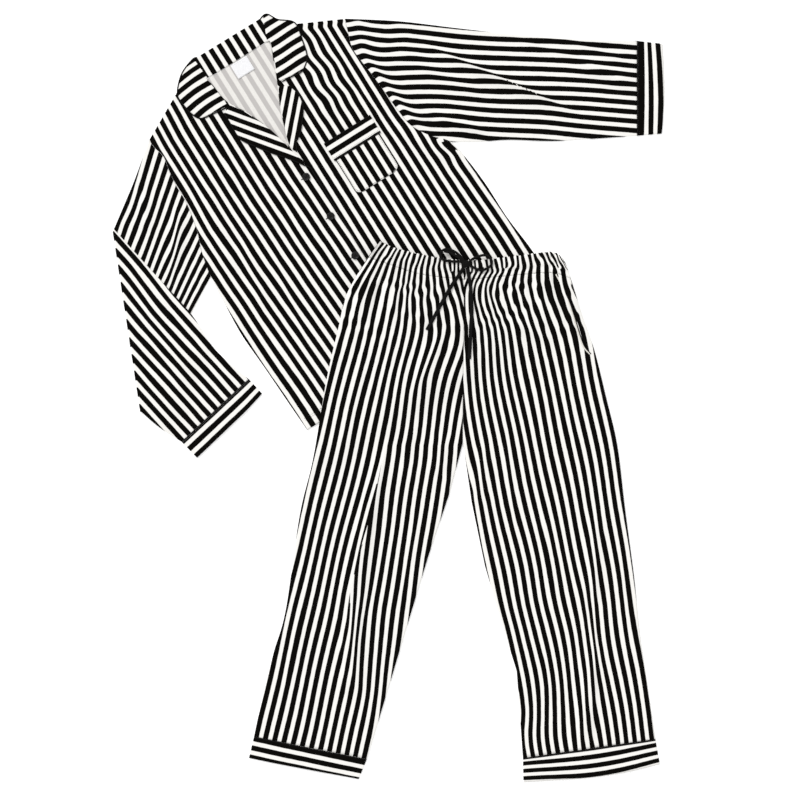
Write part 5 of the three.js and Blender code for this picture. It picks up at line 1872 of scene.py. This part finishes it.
    def pocket_edge(self) -> None:
        """The slanted side pocket low on the hip: a narrow lip of pale facing, with a strip of black trim
        beside it as painted shadow.
        """
        x, y = through(self.pocket_mouth, 60).T
        outer_x, outer_y = np.array(LEFT_OUTER[:3][::-1], float).T
        outer = np.interp(y, outer_y, outer_x)
        u = np.clip((outer - x) / (outer - CENTRE[0]), 0.02, 1)
        z = self.surface_height(x, y, u, 0.15 + 0 * u) + 0.5
        lip = ribbon(raised(x, y, z), 2.6, 1.2, 10)
        # Painted shadow: a strip of the black trim's finish beside the lip, where only the lip's shade falls.
        dark = ribbon(raised(x + 2.2, y + 0.7, z), 1.8, 1.3, 10)
        dress(make_object("side_pocket_lip", lip, (self.finishes.facing,)), Slot.STRIPED)
        dress(make_object("side_pocket_shadow", dark, (self.finishes.trim,)), Slot.TRIM)

    def build(self) -> None:
        """Builds the trousers from the surface up."""
        self.legs()
        self.waistband()
        self.hem_bands()
        self.pocket_edge()


@dataclass(frozen=True)
class Drawstring:
    """The black tape tied in a bow at the waist: two loops, the knot and two free ends.

    The free ends run from the knot on. The lifts are heights over the crests of the gathers.
    """

    finish: Material
    knot: Point = (151.0, 263.0)
    knot_radius: float = 9.0
    knot_height: float = 4.0
    knot_lift: float = -0.7
    loops: tuple[tuple[Point, ...], ...] = (
        ((148, 267), (138, 280), (127, 288), (112, 292), (102, 286), (102, 275), (112, 270), (126, 268),
         (139, 268), (148, 263)),
        ((148, 265), (139, 274), (128, 281), (117, 286), (108, 288)),
        ((154, 266), (170, 276), (187, 280), (199, 273), (199, 260), (182, 251), (166, 256), (154, 262)),
    )
    short_tail: tuple[Point, ...] = ((146, 256), (136, 240), (124, 223), (110, 199), (92, 166), (75, 135))
    long_tail: tuple[Point, ...] = (
        (153, 255), (157, 234), (160, 213), (162, 174), (160, 140), (159, 110), (157, 79),
    )
    width: float = 7.0
    thickness: float = 1.5
    lift: float = 1.7

    def tail(self, name: str, node: str, route: Sequence[Point]) -> None:
        """A free end: flat tape that lies on the crests of the gathers.

        Args:
            name: the piece's name.
            node: the CAD node that it stands for.
            route: its points, from the knot on.
        """
        x, y = through(route, 48).T
        top = crest(*np.asarray(route, float).T)
        run = np.linspace(0, 1, len(route))
        path = raised(x, y, np.interp(np.linspace(0, 1, len(x)), run, top) + self.lift)
        tape = ribbon(path, self.width, self.thickness, 14)
        piece = dress(make_object(name, tape, (self.finish,)), Slot.TRIM, node)

    def bow(self) -> None:
        """The knot, an oval with the slanted turns of the tape on it, and the two loops on edge."""
        base = float(crest(np.array(self.knot[0]), np.array(self.knot[1])))
        parts = []
        for route in self.loops:
            x, y = through(route, 44).T
            away = np.sin(math.pi * np.linspace(0, 1, len(x)))
            z = base + self.knot_height / 2 + self.knot_lift + away
            parts.append(ribbon(raised(x, y, z), 5.0, 3.0, 12))
        around, rings = 40, 22
        theta, phi = np.meshgrid(2 * math.pi * np.arange(around) / around,
                                 np.linspace(0.02, math.pi - 0.02, rings))
        turns = 1 + 0.10 * np.abs(np.sin(1.5 * theta + 1.2 * phi)) - 0.05
        radius = self.knot_radius * turns
        points = raised(
            self.knot[0] + radius * np.sin(phi) * np.cos(theta),
            self.knot[1] + 0.8 * radius * np.sin(phi) * np.sin(theta),
            base + self.knot_height / 1.6 * (1 + turns * np.cos(phi)) + self.knot_lift,
        )
        parts.append(Surface.shell(points, grid_faces(around, rings, ring=True)))
        dress(make_object("bow_tape", gathered(parts), (self.finish,)), Slot.TRIM, "drawstring_bow")

    def build(self) -> None:
        """Makes the free ends, then the bow."""
        self.tail("tail_short_tape", "drawstring_tail_short", self.short_tail)
        self.tail("tail_long_tape", "drawstring_tail_long", self.long_tail)
        self.bow()


@dataclass(frozen=True)
class Studio:
    """The white surface, the soft light and the camera straight above the set.

    Sizes are in metres, those of the lens and its sensor in millimetres, and the sun's tilt in degrees.
    """

    view_centre: Point = (0.0224, -0.0014)
    view_width: float = 1.56
    lens: float = 100.0
    sensor: float = 36.0
    floor_reach: float = 24.0
    floor_z: float = -0.0004
    floor_glow: float = 0.3
    sky: float = 0.74
    sun: float = 1.95
    sun_angle: float = 0.4
    sun_tilt: Point = (-38.0, -36.0)

    def camera(self) -> None:
        """Makes the camera at the distance where the lens takes in the view's width."""
        data = bpy.data.cameras.new("camera")
        data.lens, data.sensor_width = self.lens, self.sensor
        data.clip_end = 100
        camera = bpy.data.objects.new("camera", data)
        camera.location = (*self.view_centre, self.view_width * self.lens / self.sensor)
        bpy.context.scene.collection.objects.link(camera)
        bpy.context.scene.camera = camera

    def surface(self) -> None:
        """Makes the white floor."""
        n = Nodes("studio_floor")
        n.put(Roughness=0.9, Specular_IOR_Level=0.1)
        n.shader.inputs["Base Color"].default_value = (0.96, 0.96, 0.96, 1)
        n.shader.inputs["Emission Color"].default_value = (1, 1, 1, 1)
        n.put(Emission_Strength=self.floor_glow)
        mesh = bpy.data.meshes.new("floor")
        far, low = self.floor_reach, self.floor_z
        corners = [(-far, -far, low), (far, -far, low), (far, far, low), (-far, far, low)]
        mesh.from_pydata(corners, [], [(0, 1, 2, 3)])
        mesh.materials.append(n.material)
        floor = bpy.data.objects.new("floor", mesh)
        bpy.context.scene.collection.objects.link(floor)

    def light(self) -> None:
        """A white sky, and one broad soft light from the upper left."""
        world = bpy.data.worlds.new("sky")
        world.use_nodes = True
        sky = world.node_tree.nodes["Background"]
        sky.inputs["Color"].default_value = (1, 1, 1, 1)
        sky.inputs["Strength"].default_value = self.sky
        bpy.context.scene.world = world
        lamp = bpy.data.lights.new("key", "SUN")
        lamp.energy, lamp.angle = self.sun, self.sun_angle
        key = bpy.data.objects.new("key", lamp)
        key.rotation_euler = (*np.radians(self.sun_tilt), 0)
        bpy.context.scene.collection.objects.link(key)
        bpy.context.scene.view_settings.view_transform = "Standard"
        bpy.context.scene.view_settings.look = "None"


def main() -> None:
    """Builds the set: the camera and the cords, then the pieces from the surface up, then the light."""
    logging.basicConfig(level=logging.INFO, format="%(name)s %(message)s")
    studio = Studio()
    studio.camera()
    finishes = Finishes.make()
    Drawstring(finishes.tape).build()
    Shirt(finishes).build()
    Trousers(finishes).build()
    studio.surface()
    studio.light()


if __name__ == "__main__":
    main()
